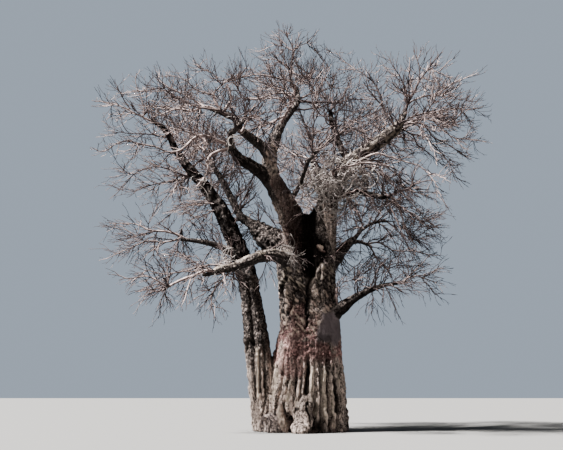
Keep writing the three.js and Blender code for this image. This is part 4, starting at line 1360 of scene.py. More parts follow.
# Branches that show from the front: from and to depth, base and tip radius, tone, then X and Z
drawnBranches = [
    ((-0.9, -0.2), (0.075, 0.022), 2, ((4.1, 12.9), (3.6, 13.7), (3.4, 14.7), (2.3, 16.0))),
    ((-1.0, -1.2), (0.07, 0.02), 2, ((4.5, 14.0), (4.7, 14.4), (6.1, 16.3))),
    ((-1.0, -0.8), (0.04, 0.016), 2, ((4.6, 14.3), (3.8, 16.3))),
    ((-1.0, -0.5), (0.04, 0.014), 1, ((4.7, 14.5), (4.8, 16.4))),
    ((-1.1, -1.4), (0.035, 0.014), 1, ((5.0, 14.9), (5.1, 15.4), (4.8, 16.3))),
    ((-0.9, -0.6), (0.055, 0.016), 1, ((4.3, 13.1), (5.3, 13.6), (7.7, 13.9))),
    ((-0.9, -1.6), (0.055, 0.016), 1, ((4.3, 13.0), (5.0, 13.2), (5.5, 13.1), (6.5, 12.2), (7.7, 12.0))),
    ((-0.9, -0.2), (0.05, 0.015), 1, ((4.2, 13.0), (4.9, 13.1), (5.5, 12.9), (6.8, 11.9), (7.4, 11.8))),
    ((-0.9, -1.8), (0.05, 0.015), 2, ((4.2, 12.9), (4.8, 12.7), (6.4, 10.9))),
    ((-0.8, 0.2), (0.04, 0.014), 2, ((4.0, 12.8), (4.7, 12.7), (6.4, 11.4))),
    ((-1.0, -1.1), (0.045, 0.015), 0, ((4.5, 13.9), (7.7, 15.4))),
    ((-1.2, -1.5), (0.03, 0.013), 1, ((5.5, 15.5), (5.8, 15.3), (6.6, 15.9))),
    ((-0.8, 0.2), (0.04, 0.014), 1, ((3.5, 12.4), (3.6, 13.4), (3.0, 14.0))),
    ((-0.6, 0.1), (0.035, 0.014), 1, ((3.0, 12.1), (2.7, 12.6), (2.1, 13.2))),
    ((-0.5, -1.5), (0.055, 0.016), 0, ((2.0, 11.1), (2.9, 11.6), (3.5, 11.6), (4.7, 11.1), (5.5, 10.2))),
    ((-0.4, 0.1), (0.045, 0.015), 1, ((2.0, 11.2), (2.8, 11.4), (3.4, 11.3), (4.7, 10.7), (5.8, 9.9))),
    ((-0.5, -1.9), (0.04, 0.015), 1, ((1.9, 11.1), (2.7, 11.1), (3.2, 10.7), (5.1, 8.5))),
    ((-0.6, -1.0), (0.03, 0.014), 1, ((2.4, 11.0), (3.0, 10.6), (3.5, 9.8))),
    ((-1.8, -2.0), (0.055, 0.015), 1, ((3.2, 9.5), (3.6, 9.3), (4.5, 7.4))),
    ((-1.8, -1.3), (0.04, 0.014), 1, ((3.4, 9.4), (3.9, 9.2), (5.5, 8.1))),
    ((-1.8, -2.3), (0.03, 0.013), 1, ((3.5, 9.2), (3.9, 7.7))),
    ((2.0, 1.8), (0.045, 0.015), 1, ((3.7, 9.4), (4.2, 9.1), (4.9, 7.9))),
    ((1.1, 1.4), (0.055, 0.015), 1, ((2.7, 8.1), (6.2, 7.6))),
    ((1.0, 0.6), (0.045, 0.014), 1, ((3.1, 7.7), (3.6, 6.9), (3.8, 6.4))),
    ((0.7, 0.4), (0.03, 0.013), 1, ((3.6, 6.9), (4.0, 7.0), (4.7, 6.3))),
    ((1.9, 2.4), (0.035, 0.014), 1, ((3.4, 9.3), (3.9, 9.0), (4.5, 7.8))),
    ((-1.6, -1.8), (0.045, 0.013), 1, ((3.8, 5.9), (4.5, 6.2), (5.5, 5.9))),
    ((-1.6, -1.5), (0.035, 0.013), 1, ((3.9, 5.9), (5.1, 7.1))),
    ((-1.4, -1.5), (0.024, 0.012), 1, ((3.2, 5.9), (3.8, 4.5))),
    ((-1.2, -1.2), (0.022, 0.012), 1, ((2.7, 5.7), (2.8, 5.3), (2.7, 4.9))),
    ((-0.8, -0.5), (0.026, 0.013), 1, ((1.5, 5.2), (1.4, 5.8), (1.6, 6.1), (2.0, 6.2), (2.4, 6.2))),
    ((1.7, 1.2), (0.05, 0.016), 1, ((1.3, 14.4), (1.9, 14.8), (2.1, 15.1), (3.6, 15.1))),
    ((0.9, 0.3), (0.04, 0.015), 0, ((1.6, 13.2), (0.7, 13.2), (-0.1, 13.6))),
    ((1.6, 1.7), (0.035, 0.014), 1, ((1.2, 15.0), (1.7, 16.8))),
    ((-1.0, -1.1), (0.026, 0.012), 0, ((1.9, 9.8), (1.6, 8.8), (1.3, 8.6))),
    ((-0.9, -1.2), (0.026, 0.012), 0, ((1.8, 9.8), (2.2, 8.3))),
    ((0.9, 1.0), (0.05, 0.016), 1, ((-8.6, 14.6), (-9.9, 14.9))),
    ((0.9, 1.2), (0.04, 0.015), 1, ((-7.4, 14.2), (-7.8, 15.6), (-7.9, 16.4))),
    ((0.9, 0.6), (0.035, 0.014), 1, ((-8.1, 14.5), (-8.8, 15.5))),
    ((0.9, 0.4), (0.035, 0.014), 1, ((-7.1, 14.0), (-7.3, 14.6), (-7.2, 15.6))),
    ((0.9, 0.5), (0.045, 0.014), 2, ((-6.2, 13.1), (-8.8, 13.2))),
    ((0.8, 0.5), (0.05, 0.015), 1, ((-5.9, 12.3), (-8.0, 12.8), (-9.1, 12.3), (-9.6, 12.4))),
    ((0.7, 0.2), (0.05, 0.015), 2, ((-5.2, 11.2), (-6.5, 11.5), (-7.9, 11.2), (-8.3, 11.5))),
    ((0.7, -0.2), (0.045, 0.015), 2, ((-5.2, 11.2), (-5.7, 11.1), (-5.8, 10.8), (-7.5, 10.2))),
    ((0.4, -0.3), (0.03, 0.013), 1, ((-5.7, 10.9), (-5.8, 10.4), (-6.4, 9.7), (-6.5, 9.3))),
    ((0.5, 0.0), (0.035, 0.014), 1, ((-3.8, 9.6), (-4.8, 9.1), (-5.5, 8.3))),
    ((0.5, 0.3), (0.035, 0.014), 1, ((-4.0, 9.8), (-5.3, 9.7), (-5.8, 9.5), (-6.1, 9.1))),
    ((-1.6, -2.9), (0.08, 0.04), 0, ((-3.3, 11.9), (-4.4, 12.0), (-5.5, 11.1))),
    ((-1.6, -2.4), (0.075, 0.03), 0, ((-3.2, 11.8), (-3.6, 11.6), (-4.0, 11.3), (-4.1, 10.9), (-4.0, 10.5),
                                      (-4.5, 9.8))),
    ((-1.7, -1.3), (0.06, 0.035), 0, ((-2.8, 12.4), (-2.5, 12.9), (-2.2, 13.1), (-2.0, 13.1), (-1.9, 12.9))),
    ((0.1, -1.0), (0.055, 0.02), 0, ((-0.9, 13.8), (-1.6, 13.3), (-2.0, 13.1), (-2.1, 12.8), (-2.1, 12.3))),
    ((0.1, -1.6), (0.055, 0.025), 0, ((-0.6, 14.2), (-0.6, 14.5), (-0.9, 14.6), (-1.9, 14.3), (-2.8, 14.1),
                                       (-2.9, 14.3))),
    ((-2.4, -3.2), (0.035, 0.015), 1, ((-4.4, 11.9), (-5.2, 12.1), (-5.9, 11.7))),
    ((-0.5, -0.4), (0.06, 0.015), 1, ((-5.2, 8.0), (-6.3, 8.4), (-8.4, 8.7))),
    ((-0.6, -1.2), (0.045, 0.014), 1, ((-5.4, 8.0), (-6.2, 7.8), (-6.6, 7.8), (-8.3, 7.0))),
    ((-0.9, -1.0), (0.025, 0.013), 1, ((-6.4, 7.7), (-6.4, 7.0))),
    ((-1.9, -1.6), (0.045, 0.014), 1, ((-3.0, 6.6), (-4.1, 6.6), (-5.7, 6.3), (-6.8, 6.5))),
    ((-2.2, -2.5), (0.07, 0.045), 0, ((-3.7, 6.3), (-4.4, 6.2), (-5.6, 5.6))),
    ((-2.5, -2.7), (0.04, 0.015), 1, ((-5.5, 5.6), (-6.2, 6.0), (-7.2, 6.0), (-7.6, 6.2))),
    ((-2.5, -2.4), (0.04, 0.014), 1, ((-5.6, 5.6), (-5.9, 4.8))),
    ((-1.9, -2.5), (0.055, 0.016), 2, ((-3.0, 6.2), (-3.3, 6.2), (-3.7, 5.5), (-3.8, 5.1), (-3.6, 4.3))),
    ((-1.3, -1.4), (0.022, 0.012), 1, ((-1.6, 6.9), (-2.0, 5.9))),
    ((-2.4, -3.0), (0.035, 0.014), 0, ((-4.6, 6.0), (-4.9, 4.8))),
    ((-1.6, -1.4), (0.08, 0.045), 0, ((-3.5, 13.3), (-3.2, 13.8), (-3.4, 14.7))),
    ((-1.6, -2.0), (0.065, 0.02), 0, ((-3.6, 13.3), (-4.4, 13.5), (-6.3, 13.0))),
    ((-1.6, -1.0), (0.05, 0.016), 1, ((-4.5, 13.7), (-6.4, 15.0))),
    ((-1.6, -1.5), (0.06, 0.045), 0, ((-3.7, 13.4), (-4.0, 14.2))),
    ((-1.5, -1.8), (0.04, 0.014), 1, ((-3.9, 14.1), (-6.0, 15.0))),
    ((-1.5, -0.9), (0.04, 0.014), 1, ((-4.0, 14.2), (-3.6, 14.8), (-2.6, 15.3))),
    ((-1.3, -1.2), (0.03, 0.013), 1, ((-3.6, 14.8), (-4.8, 15.8))),
    ((0.6, 0.5), (0.065, 0.018), 2, ((-0.6, 15.9), (-0.5, 17.2), (-0.9, 18.3))),
    ((0.6, 1.0), (0.035, 0.014), 1, ((-0.6, 16.2), (-1.1, 16.8), (-1.6, 17.0), (-2.0, 17.6))),
    ((0.9, 0.7), (0.03, 0.014), 1, ((0.4, 16.0), (-0.3, 16.7), (-0.5, 17.2))),
    ((0.6, 0.2), (0.035, 0.013), 1, ((-0.5, 17.0), (-0.3, 17.4), (0.1, 17.5), (0.6, 17.9))),
    ((0.6, 0.9), (0.03, 0.013), 1, ((-0.6, 17.3), (-1.5, 18.4))),
    ((0.6, 0.4), (0.025, 0.012), 1, ((-0.5, 17.2), (-0.1, 18.1))),
    ((0.6, -0.3), (0.05, 0.016), 1, ((-0.4, 15.4), (-0.9, 15.6), (-2.3, 15.8), (-3.4, 15.1))),
    ((0.5, 0.9), (0.08, 0.025), 2, ((-0.3, 14.7), (1.9, 14.7))),
    ((0.5, -0.1), (0.06, 0.018), 1, ((-0.3, 14.8), (1.3, 15.1))),
    ((0.3, 0.2), (0.03, 0.013), 1, ((0.3, 15.1), (0.8, 15.7))),
    ((0.2, -0.6), (0.05, 0.016), 0, ((-0.7, 14.0), (-1.1, 14.5), (-2.9, 14.4))),
    ((0.2, -0.4), (0.045, 0.03), 0, ((-0.9, 13.8), (-2.1, 13.1))),
    ((-2.1, -2.3), (0.055, 0.03), 0, ((-2.5, 12.9), (-2.0, 12.9), (-1.9, 12.5))),
    ((-1.3, -1.5), (0.05, 0.03), 0, ((1.2, 10.7), (1.7, 10.9), (2.3, 11.1), (3.0, 11.1), (3.7, 10.9))),
    ((-0.7, -0.9), (0.04, 0.024), 0, ((1.3, 10.9), (1.5, 10.5), (1.5, 10.1), (1.3, 9.7))),
    ((-1.0, -1.2), (0.042, 0.024), 0, ((1.7, 10.7), (2.0, 10.9), (2.1, 10.6), (1.9, 10.1))),
    ((-1.2, -1.6), (0.05, 0.028), 0, ((1.6, 9.7), (2.0, 9.9), (2.2, 10.0), (2.5, 9.8), (2.8, 9.5))),
    ((-1.0, -0.8), (0.036, 0.018), 0, ((2.0, 9.8), (1.8, 9.5), (1.6, 9.0), (1.2, 8.4))),
    ((-1.1, -1.4), (0.044, 0.02), 0, ((2.2, 10.7), (2.2, 10.2), (2.4, 10.0), (2.7, 10.0))),
    ((-1.5, -0.9), (0.030, 0.014), 1, ((-1.8, 7.1), (-1.5, 7.3), (-1.2, 7.6), (-0.9, 7.9))),
    ((-1.0, -1.3), (0.016, 0.009), 1, ((-0.8, 7.4), (-0.5, 7.0), (-0.2, 6.6))),
    ((-1.0, -1.3), (0.014, 0.009), 1, ((-0.7, 7.3), (-0.4, 7.1), (0.0, 6.9))),
    ((-1.0, -1.2), (0.014, 0.009), 1, ((-0.7, 7.2), (-0.6, 6.9), (-0.6, 6.5))),
    ((-0.7, -0.9), (0.022, 0.012), 0, ((-1.1, 8.4), (-0.8, 8.6), (-0.5, 8.9), (-0.2, 9.0))),
    ((-0.6, -0.8), (0.022, 0.012), 0, ((0.7, 7.2), (1.1, 7.2), (1.4, 7.5), (1.7, 7.8))),
    ((-0.8, -0.9), (0.05, 0.04), 0, ((1.3, 5.1), (1.3, 5.4), (1.3, 5.8))),
    ((-0.8, -0.8), (0.032, 0.016), 0, ((-1.0, 10.0), (-0.9, 9.5), (-0.8, 9.1))),
]

# Further second boughs: end point of each, by the limb it grows from, its base radius, and how far
# along that limb it may start at the earliest
secondBoughs = {
    "left_crook_bough": [((-3.0, -4.4, 12.4), 0.07)],
    "inner_left_bough": [((-5.2, -3.8, 13.0), 0.07)],
    "top_bough": [((-0.4, -3.2, 13.9), 0.07), ((-0.6, 3.6, 16.4), 0.07), ((1.9, 0.5, 14.7), 0.055)],
    "right_bough": [((5.0, -3.9, 12.8), 0.06, 0.8)],
    "back_right_bough": [((2.2, 1.2, 16.0), 0.05), ((1.6, 3.4, 16.2), 0.06)],
    "right_rear_bough": [((2.5, 2.2, 10.2), 0.05)],
    "side_bough": [((-7.6, 2.0, 15.0), 0.06)],
    "front_bough": [((2.0, -4.8, 12.0), 0.05), ((0.6, -5.4, 11.7), 0.045), ((0.2, -3.8, 13.5), 0.045)],
    "left_rear_bough": [((-5.9, 4.4, 14.8), 0.09), ((-4.8, 4.7, 14.9), 0.08),
                        ((-6.3, 4.4, 11.8), 0.08), ((-4.4, 3.9, 11.0), 0.06)],
    "right_back_bough": [((5.2, 4.7, 14.9), 0.09), ((3.9, 4.9, 14.9), 0.08),
                         ((5.4, 5.0, 11.8), 0.08), ((4.3, 4.5, 10.9), 0.06)],
    "rear_bough": [((0.9, 6.8, 14.5), 0.09), ((-1.0, 6.6, 14.6), 0.09), ((-0.2, 4.6, 16.6), 0.09),
                   ((0.2, 7.0, 12.9), 0.07)],
    "rear_low_bough": [((1.2, 6.2, 9.9), 0.06), ((-0.7, 6.0, 9.7), 0.06)],
}

# Tangles of thin curly twigs that hug the limbs: middle, reach along X, Y and Z, and how many
tangles = [
    ((2.1, -1.0, 10.55), (0.95, 0.35, 0.75), 150), ((1.1, -0.95, 10.3), (0.75, 0.3, 0.95), 150),
    ((0.15, -0.9, 10.3), (0.45, 0.3, 0.5), 40), ((1.45, -0.7, 9.3), (0.3, 0.25, 0.5), 30),
    ((-4.2, -2.4, 10.0), (0.35, 0.3, 0.4), 8), ((-3.15, -1.9, 12.3), (0.25, 0.25, 0.5), 14),
    ((-3.4, -2.2, 6.6), (0.4, 0.3, 0.35), 30, 0.45), ((-0.6, -1.2, 7.2), (0.35, 0.2, 0.4), 26, 0.5),
]

# How the growth in some masses turns at its ends: above 0 it lifts, below 0 it hangs
habits = {
    "left_low_twigs": -0.5, "left_hanging_twigs": -1.4, "lowest_hanging_twigs": -1.5,
    "lowest_tip_twigs": -0.25, "right_hanging_twigs": -0.5, "right_rear_twigs": -0.3,
    "right_sweep_twigs": -0.3, "right_middle_twigs": -0.5, "right_low_twigs": -0.25,
    "side_hanging_twigs": -0.8, "side_third_twigs": -0.2, "left_middle_twigs": 0.0,
    "rear_hanging_twigs": -0.6, "rear_low_left_twigs": -0.4, "rear_low_right_twigs": -0.4,
}
usualHabit = 0.45

growth = {
    "seed": 21,
    "crownHeart": (-0.6, 0.0, 9.0),  # growth points away from here
    "spread": 0.22,  # metres by which a mass's own outline is blurred
    "massSamples": 1500,
    "startAt": {"side_stem": 0.4, "other": 0.25},  # share of a limb that stays free of branches
    "fill": {
        "limbFrom": 0.35,  # share of each limb that has no growth close to it
        "thick": 0.11,  # limbs of this radius stay open to the view
        "skipped": 0.92,  # share of the targets in front of them that are left out
        "lowest": 4.2,
        "lowestApart": 5.4,  # between the masses
        "trunkApart": 2.0,
    },
    "branch": {"startPull": 0.9, "endPull": 0.8, "waves": (1.0, 2.0, 3.0), "taper": 0.8,
               "kneeReach": 2.0, "closest": 0.05, "overTip": 1.25},
    "second": {"from": 0.55, "along": 0.8, "onward": 1.0, "lift": 0.6},
    "drawn": {"waves": (2, 3, 5), "sway": 0.035, "knee": 0.010},
    "next": {"along": 0.7, "onward": 0.8, "lift": 1.0, "base": (0.6, 0.4), "ofParent": 0.8,
             "overTip": 1.2, "inside": 0.1},
    "levels": (
        {"perCubicMetre": 0.42, "lean": 1.8, "outward": 0.7, "base": 0.050, "tip": 0.017,
         "sway": 0.05, "knee": 0.010, "spacing": 0.22, "near": 60, "sides": 6, "bias": 0.30},
        {"gap": 0.62, "reach": 1.12, "limbReach": 1.5, "clear": 0.20, "open": 0.50, "lean": 1.5,
         "outward": 0.8, "base": 0.029, "tip": 0.012, "sway": 0.05, "knee": 0.012, "spacing": 0.22,
         "near": 40, "sides": 4},
    ),
    "shoots": (
        {"every": 0.17, "from": 0.2, "length": (0.45, 1.0), "angle": (26, 50), "base": 0.0150,
         "tip": 0.0080, "points": 4, "sides": 3, "turnBack": 0.75, "shortening": 0.45},
        {"every": 0.30, "from": 0.25, "length": (0.18, 0.40), "angle": (26, 50), "base": 0.0095,
         "tip": 0.0062, "points": 3, "sides": 3, "turnBack": 0.6, "shortening": 0.3},
    ),
    "shootShape": {"scatter": 0.45, "outward": 0.35, "lift": 0.55, "heading": 1.1, "bend": 0.75,
                   "endHeading": 0.4, "knee": 0.012, "ofParent": 0.85, "tipShare": 0.8,
                   "place": (0.1, 0.9), "inside": 0.02},
}


def massShape(name):
    triangles = nodeTriangles(name)
    volume = abs(np.einsum("ij,ij->i", triangles[:, 0], np.cross(triangles[:, 1], triangles[:, 2])).sum()) / 6
    surface = surfacePoints(name, growth["massSamples"])
    return {"name": name, "volume": volume, "middle": surface.mean(axis=0), "surface": surface,
            "inverse": np.linalg.inv(np.cov(surface.T) * 3)}


masses = [massShape(name) for name in massNames]
massMiddles = np.array([mass["middle"] for mass in masses])
lowest, highest = np.array(cadBox[0]), np.array(cadBox[1])
heart = np.array(growth["crownHeart"])
dice = np.random.default_rng(growth["seed"])


def pointsInMasses(perCubicMetre, bias):
    found, owners = [], []
    for index, mass in enumerate(masses):
        count = max(2, int(round(perCubicMetre * mass["volume"])))
        chosen = mass["surface"][dice.integers(0, len(mass["surface"]), count)]
        share = dice.random(count)[:, None] ** bias
        point = mass["middle"] + (chosen - mass["middle"]) * share
        point += dice.normal(0.0, growth["spread"], (count, 3))
        found.append(point)
        owners += [index] * count
    return np.concatenate(found), np.array(owners)


def seenFrom(points):  # where points lie for the viewer, in metres at the depth of the trunk
    eye = np.array(studio["eye"])
    away = points - eye
    flat = away * (-eye[1] / away[:, 1])[:, None]
    flat[:, 1] = 0.0
    return flat


def fillPoints(pool, rule):  # even targets in and between the masses, away from what has grown
    step, look = rule["gap"], growth["fill"]
    cells = np.ceil((highest - lowest) / step).astype(int)
    grid = np.stack(np.meshgrid(*[np.arange(count) for count in cells], indexing="ij"), axis=-1)
    grid = grid.reshape(-1, 3)
    point = lowest + (grid + dice.random((len(grid), 3))) * step
    near = np.stack([np.sqrt(np.einsum("ij,jk,ik->i", point - mass["middle"], mass["inverse"],
                                       point - mass["middle"])) for mass in masses], axis=1)
    lines = [limb["line"][int(len(limb["line"]) * look["limbFrom"])::4] for name, limb in limbs.items()
             if name not in ("trunk", "side_stem", "left_bough", "right_stem")]
    limbTree, grownTree = kdOf(np.concatenate(lines)), kdOf(pool["point"])
    thick = np.concatenate([limb["line"][limb["girth"] > look["thick"]] for limb in limbs.values()])
    seenTree = kdOf(seenFrom(thick))
    seen = seenFrom(point)
    keep = []
    for index, spot in enumerate(point):
        if spot[2] < look["lowest"] or near[index].min() > rule["reach"] and (
                spot[2] < look["lowestApart"] or np.hypot(spot[0], spot[1]) < look["trunkApart"]
                or limbTree.find(spot)[2] > rule["limbReach"]):
            continue
        _, behind, gap = seenTree.find(seen[index])
        hides = gap < rule["open"] and spot[1] < thick[behind][1]
        if hides and dice.random() < look["skipped"]:
            continue
        if grownTree.find(spot)[2] > rule["clear"]:
            keep.append(index)
    dice.shuffle(keep)
    return point[keep], near[keep].argmin(axis=1)


def hermite(start, startPull, end, endPull, count):
    t = np.linspace(0.0, 1.0, count)[:, None]
    return ((2 * t ** 3 - 3 * t ** 2 + 1) * start + (t ** 3 - 2 * t ** 2 + t) * startPull
            + (3 * t ** 2 - 2 * t ** 3) * end + (t ** 3 - t ** 2) * endPull)


def unit(vector):
    return vector / max(np.linalg.norm(vector), 1e-9)


def growBranch(start, startDir, end, endDir, radii, level):
    look = growth["branch"]
    reach = np.linalg.norm(end - start)
    count = max(4, int(reach / level["spacing"]) + 2)
    line = hermite(start, startDir * reach * look["startPull"], end, endDir * reach * look["endPull"],
                   count)
    share = np.linspace(0.0, 1.0, count)
    for waves in look["waves"]:
        push = dice.normal(0.0, level["sway"] * reach / (1 + waves), 3)
        line = line + np.sin(np.pi * waves * share)[:, None] * push
    knees = dice.normal(0.0, level["knee"] * min(reach, look["kneeReach"]), (count, 3))
    knees[0] = knees[-1] = 0.0
    girth = radii[0] + (radii[1] - radii[0]) * share ** look["taper"]
    return line + knees, girth


def startingPool():
    pool = {"point": [], "dir": [], "girth": []}
    for name, limb in limbs.items():
        if name == "trunk":
            continue
        free = growth["startAt"].get(name, growth["startAt"]["other"])
        keep = slice(int(len(limb["line"]) * free), None, 4)
        pool["point"].append(limb["line"][keep])
        pool["dir"].append(limb["dir"][keep])
        pool["girth"].append(limb["girth"][keep])
    return {key: np.concatenate(value) for key, value in pool.items()}


def addToPool(pool, branches):
    for key, index in (("point", 0), ("girth", 1)):
        pool[key] = np.concatenate([pool[key]] + [branch[index][1:] for branch in branches])
    turns = [directions(branch[0])[1:] for branch in branches]
    pool["dir"] = np.concatenate([pool["dir"]] + turns)
    return pool


def bestStart(tree, pool, target, level):
    look = growth["branch"]
    best, chosen = 1e9, 0
    for _, index, distance in tree.find_n(target, level["near"]):
        if distance < look["closest"] or pool["girth"][index] < level["tip"] * look["overTip"]:
            continue
        toward = (target - pool["point"][index]) / distance
        cost = distance * (1 + level["lean"] * (1 - float(pool["dir"][index] @ toward)))
        if cost < best:
            best, chosen = cost, index
    return chosen


def nearestMass(point):
    return int(np.linalg.norm(massMiddles - point, axis=1).argmin())


def habitOf(owner):
    return habits.get(masses[owner]["name"], usualHabit)


def growTo(pool, index, end, owner, base, level, look):
    start = pool["point"][index]
    toward = unit(end - start)
    startDir = unit(pool["dir"][index] * look["along"] + toward)
    outward = unit(end - heart) * level["outward"]
    endDir = unit(toward * look["onward"] + outward + [0, 0, habitOf(owner) * look["lift"]])
    line, girth = growBranch(start, startDir, end, endDir, (base, level["tip"]), level)
    return line, girth, owner


def growSecondBoughs(level):
    look = growth["second"]
    branches = []
    for name, rows in secondBoughs.items():
        limb = limbs[name]
        for end, base, *late in rows:
            keep = slice(int(len(limb["line"]) * (late[0] if late else look["from"])), None, 3)
            pool = {"point": limb["line"][keep], "dir": limb["dir"][keep], "girth": limb["girth"][keep]}
            end = np.array(end)
            index = bestStart(kdOf(pool["point"]), pool, end, {**level, "near": len(pool["point"])})
            branches.append(growTo(pool, index, end, nearestMass(end), base, level, look))
    return branches


def throughPoints(points, spacing):
    pulls = np.gradient(points, axis=0)
    parts = []
    for i in range(len(points) - 1):
        count = max(2, int(np.linalg.norm(points[i + 1] - points[i]) / spacing) + 1)
        parts.append(hermite(points[i], pulls[i], points[i + 1], pulls[i + 1], count)[:-1])
    return np.concatenate(parts + [points[-1:]])


def growDrawn(pool, level):
    look = growth["drawn"]
    branches = []
    for (yFrom, yTo), (base, tip), tone, path in drawnBranches:
        path = np.array(path)
        points = np.stack([path[:, 0], np.linspace(yFrom, yTo, len(path)), path[:, 1]], axis=1)
        nearest = np.linalg.norm(pool["point"] - points[0], axis=1).argmin()
        line = throughPoints(np.concatenate([pool["point"][nearest][None], points]), level["spacing"])
        share = np.linspace(0.0, 1.0, len(line))[:, None]
        reach = np.linalg.norm(points[-1] - points[0])
        for waves in look["waves"]:
            line = line + np.sin(np.pi * waves * share) * dice.normal(0.0, look["sway"] * reach / waves, 3)
        line[2:] += dice.normal(0.0, look["knee"], (len(line) - 2, 3))
        girth = np.linspace(base, tip, len(line))
        owner = nearestMass(points[-1])
        branches.append((line, girth, owner, tone))
        addToPool(pool, branches[-1:])
    return branches


tangleLook = {
    "scatter": 0.5,
    "flatness": (1.0, 0.7, 1.0),
    "curl": (0.1, 0.45),
    "thickness": (0.55, 1.0),
    "steps": 8,
    "step": 0.13,  # metres
    "wobble": 0.12,
    "inward": 0.22,  # how strongly each step turns back to the middle
    "girth": (0.030, 0.014),
    "greyShare": 0.8,
}


def growTangles():
    look = tangleLook
    branches = []
    for middle, reach, count, *thin in tangles:
        owner = nearestMass(middle)
        for _ in range(count):
            point = np.array(middle) + dice.normal(0.0, look["scatter"], 3) * reach
            heading = unit(dice.normal(0.0, 1.0, 3) * look["flatness"])
            curl = unit(dice.normal(0.0, 1.0, 3)) * dice.uniform(*look["curl"])
            thick = dice.uniform(*look["thickness"]) * (thin[0] if thin else 1.0)
            line = [point]
            for _ in range(look["steps"]):
                heading = unit(heading + np.cross(curl, heading) + dice.normal(0.0, look["wobble"], 3)
                               + (np.array(middle) - point) * look["inward"])
                point = point + heading * look["step"]
                line.append(point)
            tone = -1 if dice.random() < look["greyShare"] else 2
            girth = np.linspace(*look["girth"], len(line)) * thick
            branches.append((np.array(line), girth, owner, tone))
    return branches


def growLevel(pool, level, targets, owners):
    look = growth["next"]
    tree = kdOf(pool["point"])
    branches = []
    for target, owner in zip(targets, owners):
        target = np.clip(target, lowest + look["inside"], highest - look["inside"])
        index = bestStart(tree, pool, target, level)
        least, byReach = look["base"]
        base = level["base"] * (least + byReach * np.linalg.norm(target - pool["point"][index]))
        base = max(min(base, pool["girth"][index] * look["ofParent"]), level["tip"] * look["overTip"])
        branches.append(growTo(pool, index, target, owner, base, level, look))
    return branches


def shootPoints(start, here, side, lift, share, rule):
    look = growth["shootShape"]
    angle = math.radians(dice.uniform(*rule["angle"]))
    heading = unit(here * math.cos(angle) + side * math.sin(angle))
    away = unit(start - heart)
    back = unit(here * rule["turnBack"] + away * look["outward"] + [0, 0, lift * look["lift"]])
    reach = dice.uniform(*rule["length"]) * (1 - rule["shortening"] * share)
    end = start + unit(heading * look["heading"] + back * look["bend"]) * reach
    endPull = unit(heading * look["endHeading"] + back) * reach
    points = hermite(start, heading * reach, end, endPull, rule["points"])
    points[1:] += dice.normal(0.0, look["knee"], (rule["points"] - 1, 3))
    return np.clip(points, lowest + look["inside"], highest - look["inside"])


def growShoots(parents, rule):
    shoots, look = [], growth["shootShape"]
    steps = np.linspace(0.0, 1.0, rule["points"])
    for line, girth, owner in (parent[:3] for parent in parents):
        turns = directions(line)
        gaps = np.concatenate([[0.0], np.cumsum(np.linalg.norm(np.diff(line, axis=0), axis=1))])
        length = gaps[-1]
        count = max(1, int(length * (1 - rule["from"]) / rule["every"]))
        flat = unit(np.cross(turns[len(turns) // 2], dice.normal(0.0, 1.0, 3)))
        lift = habitOf(owner)
        for index in range(count):
            share = rule["from"] + (1 - rule["from"]) * (index + dice.uniform(*look["place"])) / count
            at = share * length
            spot = min(len(line) - 2, int(np.searchsorted(gaps, at)) - 1)
            part = (at - gaps[spot]) / max(gaps[spot + 1] - gaps[spot], 1e-6)
            start = line[spot] + (line[spot + 1] - line[spot]) * part
            side = unit(np.cross(flat, turns[spot]) + dice.normal(0.0, look["scatter"], 3))
            side *= 1 if index % 2 else -1
            points = shootPoints(start, turns[spot], side, lift, share, rule)
            base = min(rule["base"], girth[spot] * look["ofParent"])
            tip = min(rule["tip"], base * look["tipShare"])
            shoots.append((points, base + (tip - base) * steps, owner))
    return shoots


def growTree():
    first = growth["levels"][0]
    pool = startingPool()
    drawn = growDrawn(pool, first)
    further = growSecondBoughs(first)
    addToPool(pool, further)
    grown = [(first["sides"], drawn + further)]
    for level in growth["levels"]:
        if "gap" in level:
            targets, owners = fillPoints(pool, level)
        else:
            targets, owners = pointsInMasses(level["perCubicMetre"], level["bias"])
        branches = growLevel(pool, level, targets, owners)
        addToPool(pool, branches)
        grown.append((level["sides"], branches))
        print("grown:", len(branches), "branches of", level["sides"], "sides")
    parents = [branch for _, branches in grown for branch in branches]
    for rule in growth["shoots"]:
        shoots = growShoots(parents, rule)
        grown.append((rule["sides"], shoots))
        parents = shoots
        print("grown:", len(shoots), "shoots")
    grown.append((3, growTangles()))
    return grown


# Geometry nodes that turn lines with a girth into closed, tapering tubes

barkLabels = ("Grey bark", "Pale bark", "Brown bark", "Dark bark")


def namedAttribute(tree, name, kind):
    node = tree.nodes.new("GeometryNodeInputNamedAttribute")
    node.data_type = kind
    node.inputs["Name"].default_value = name
    return node.outputs["Attribute"]


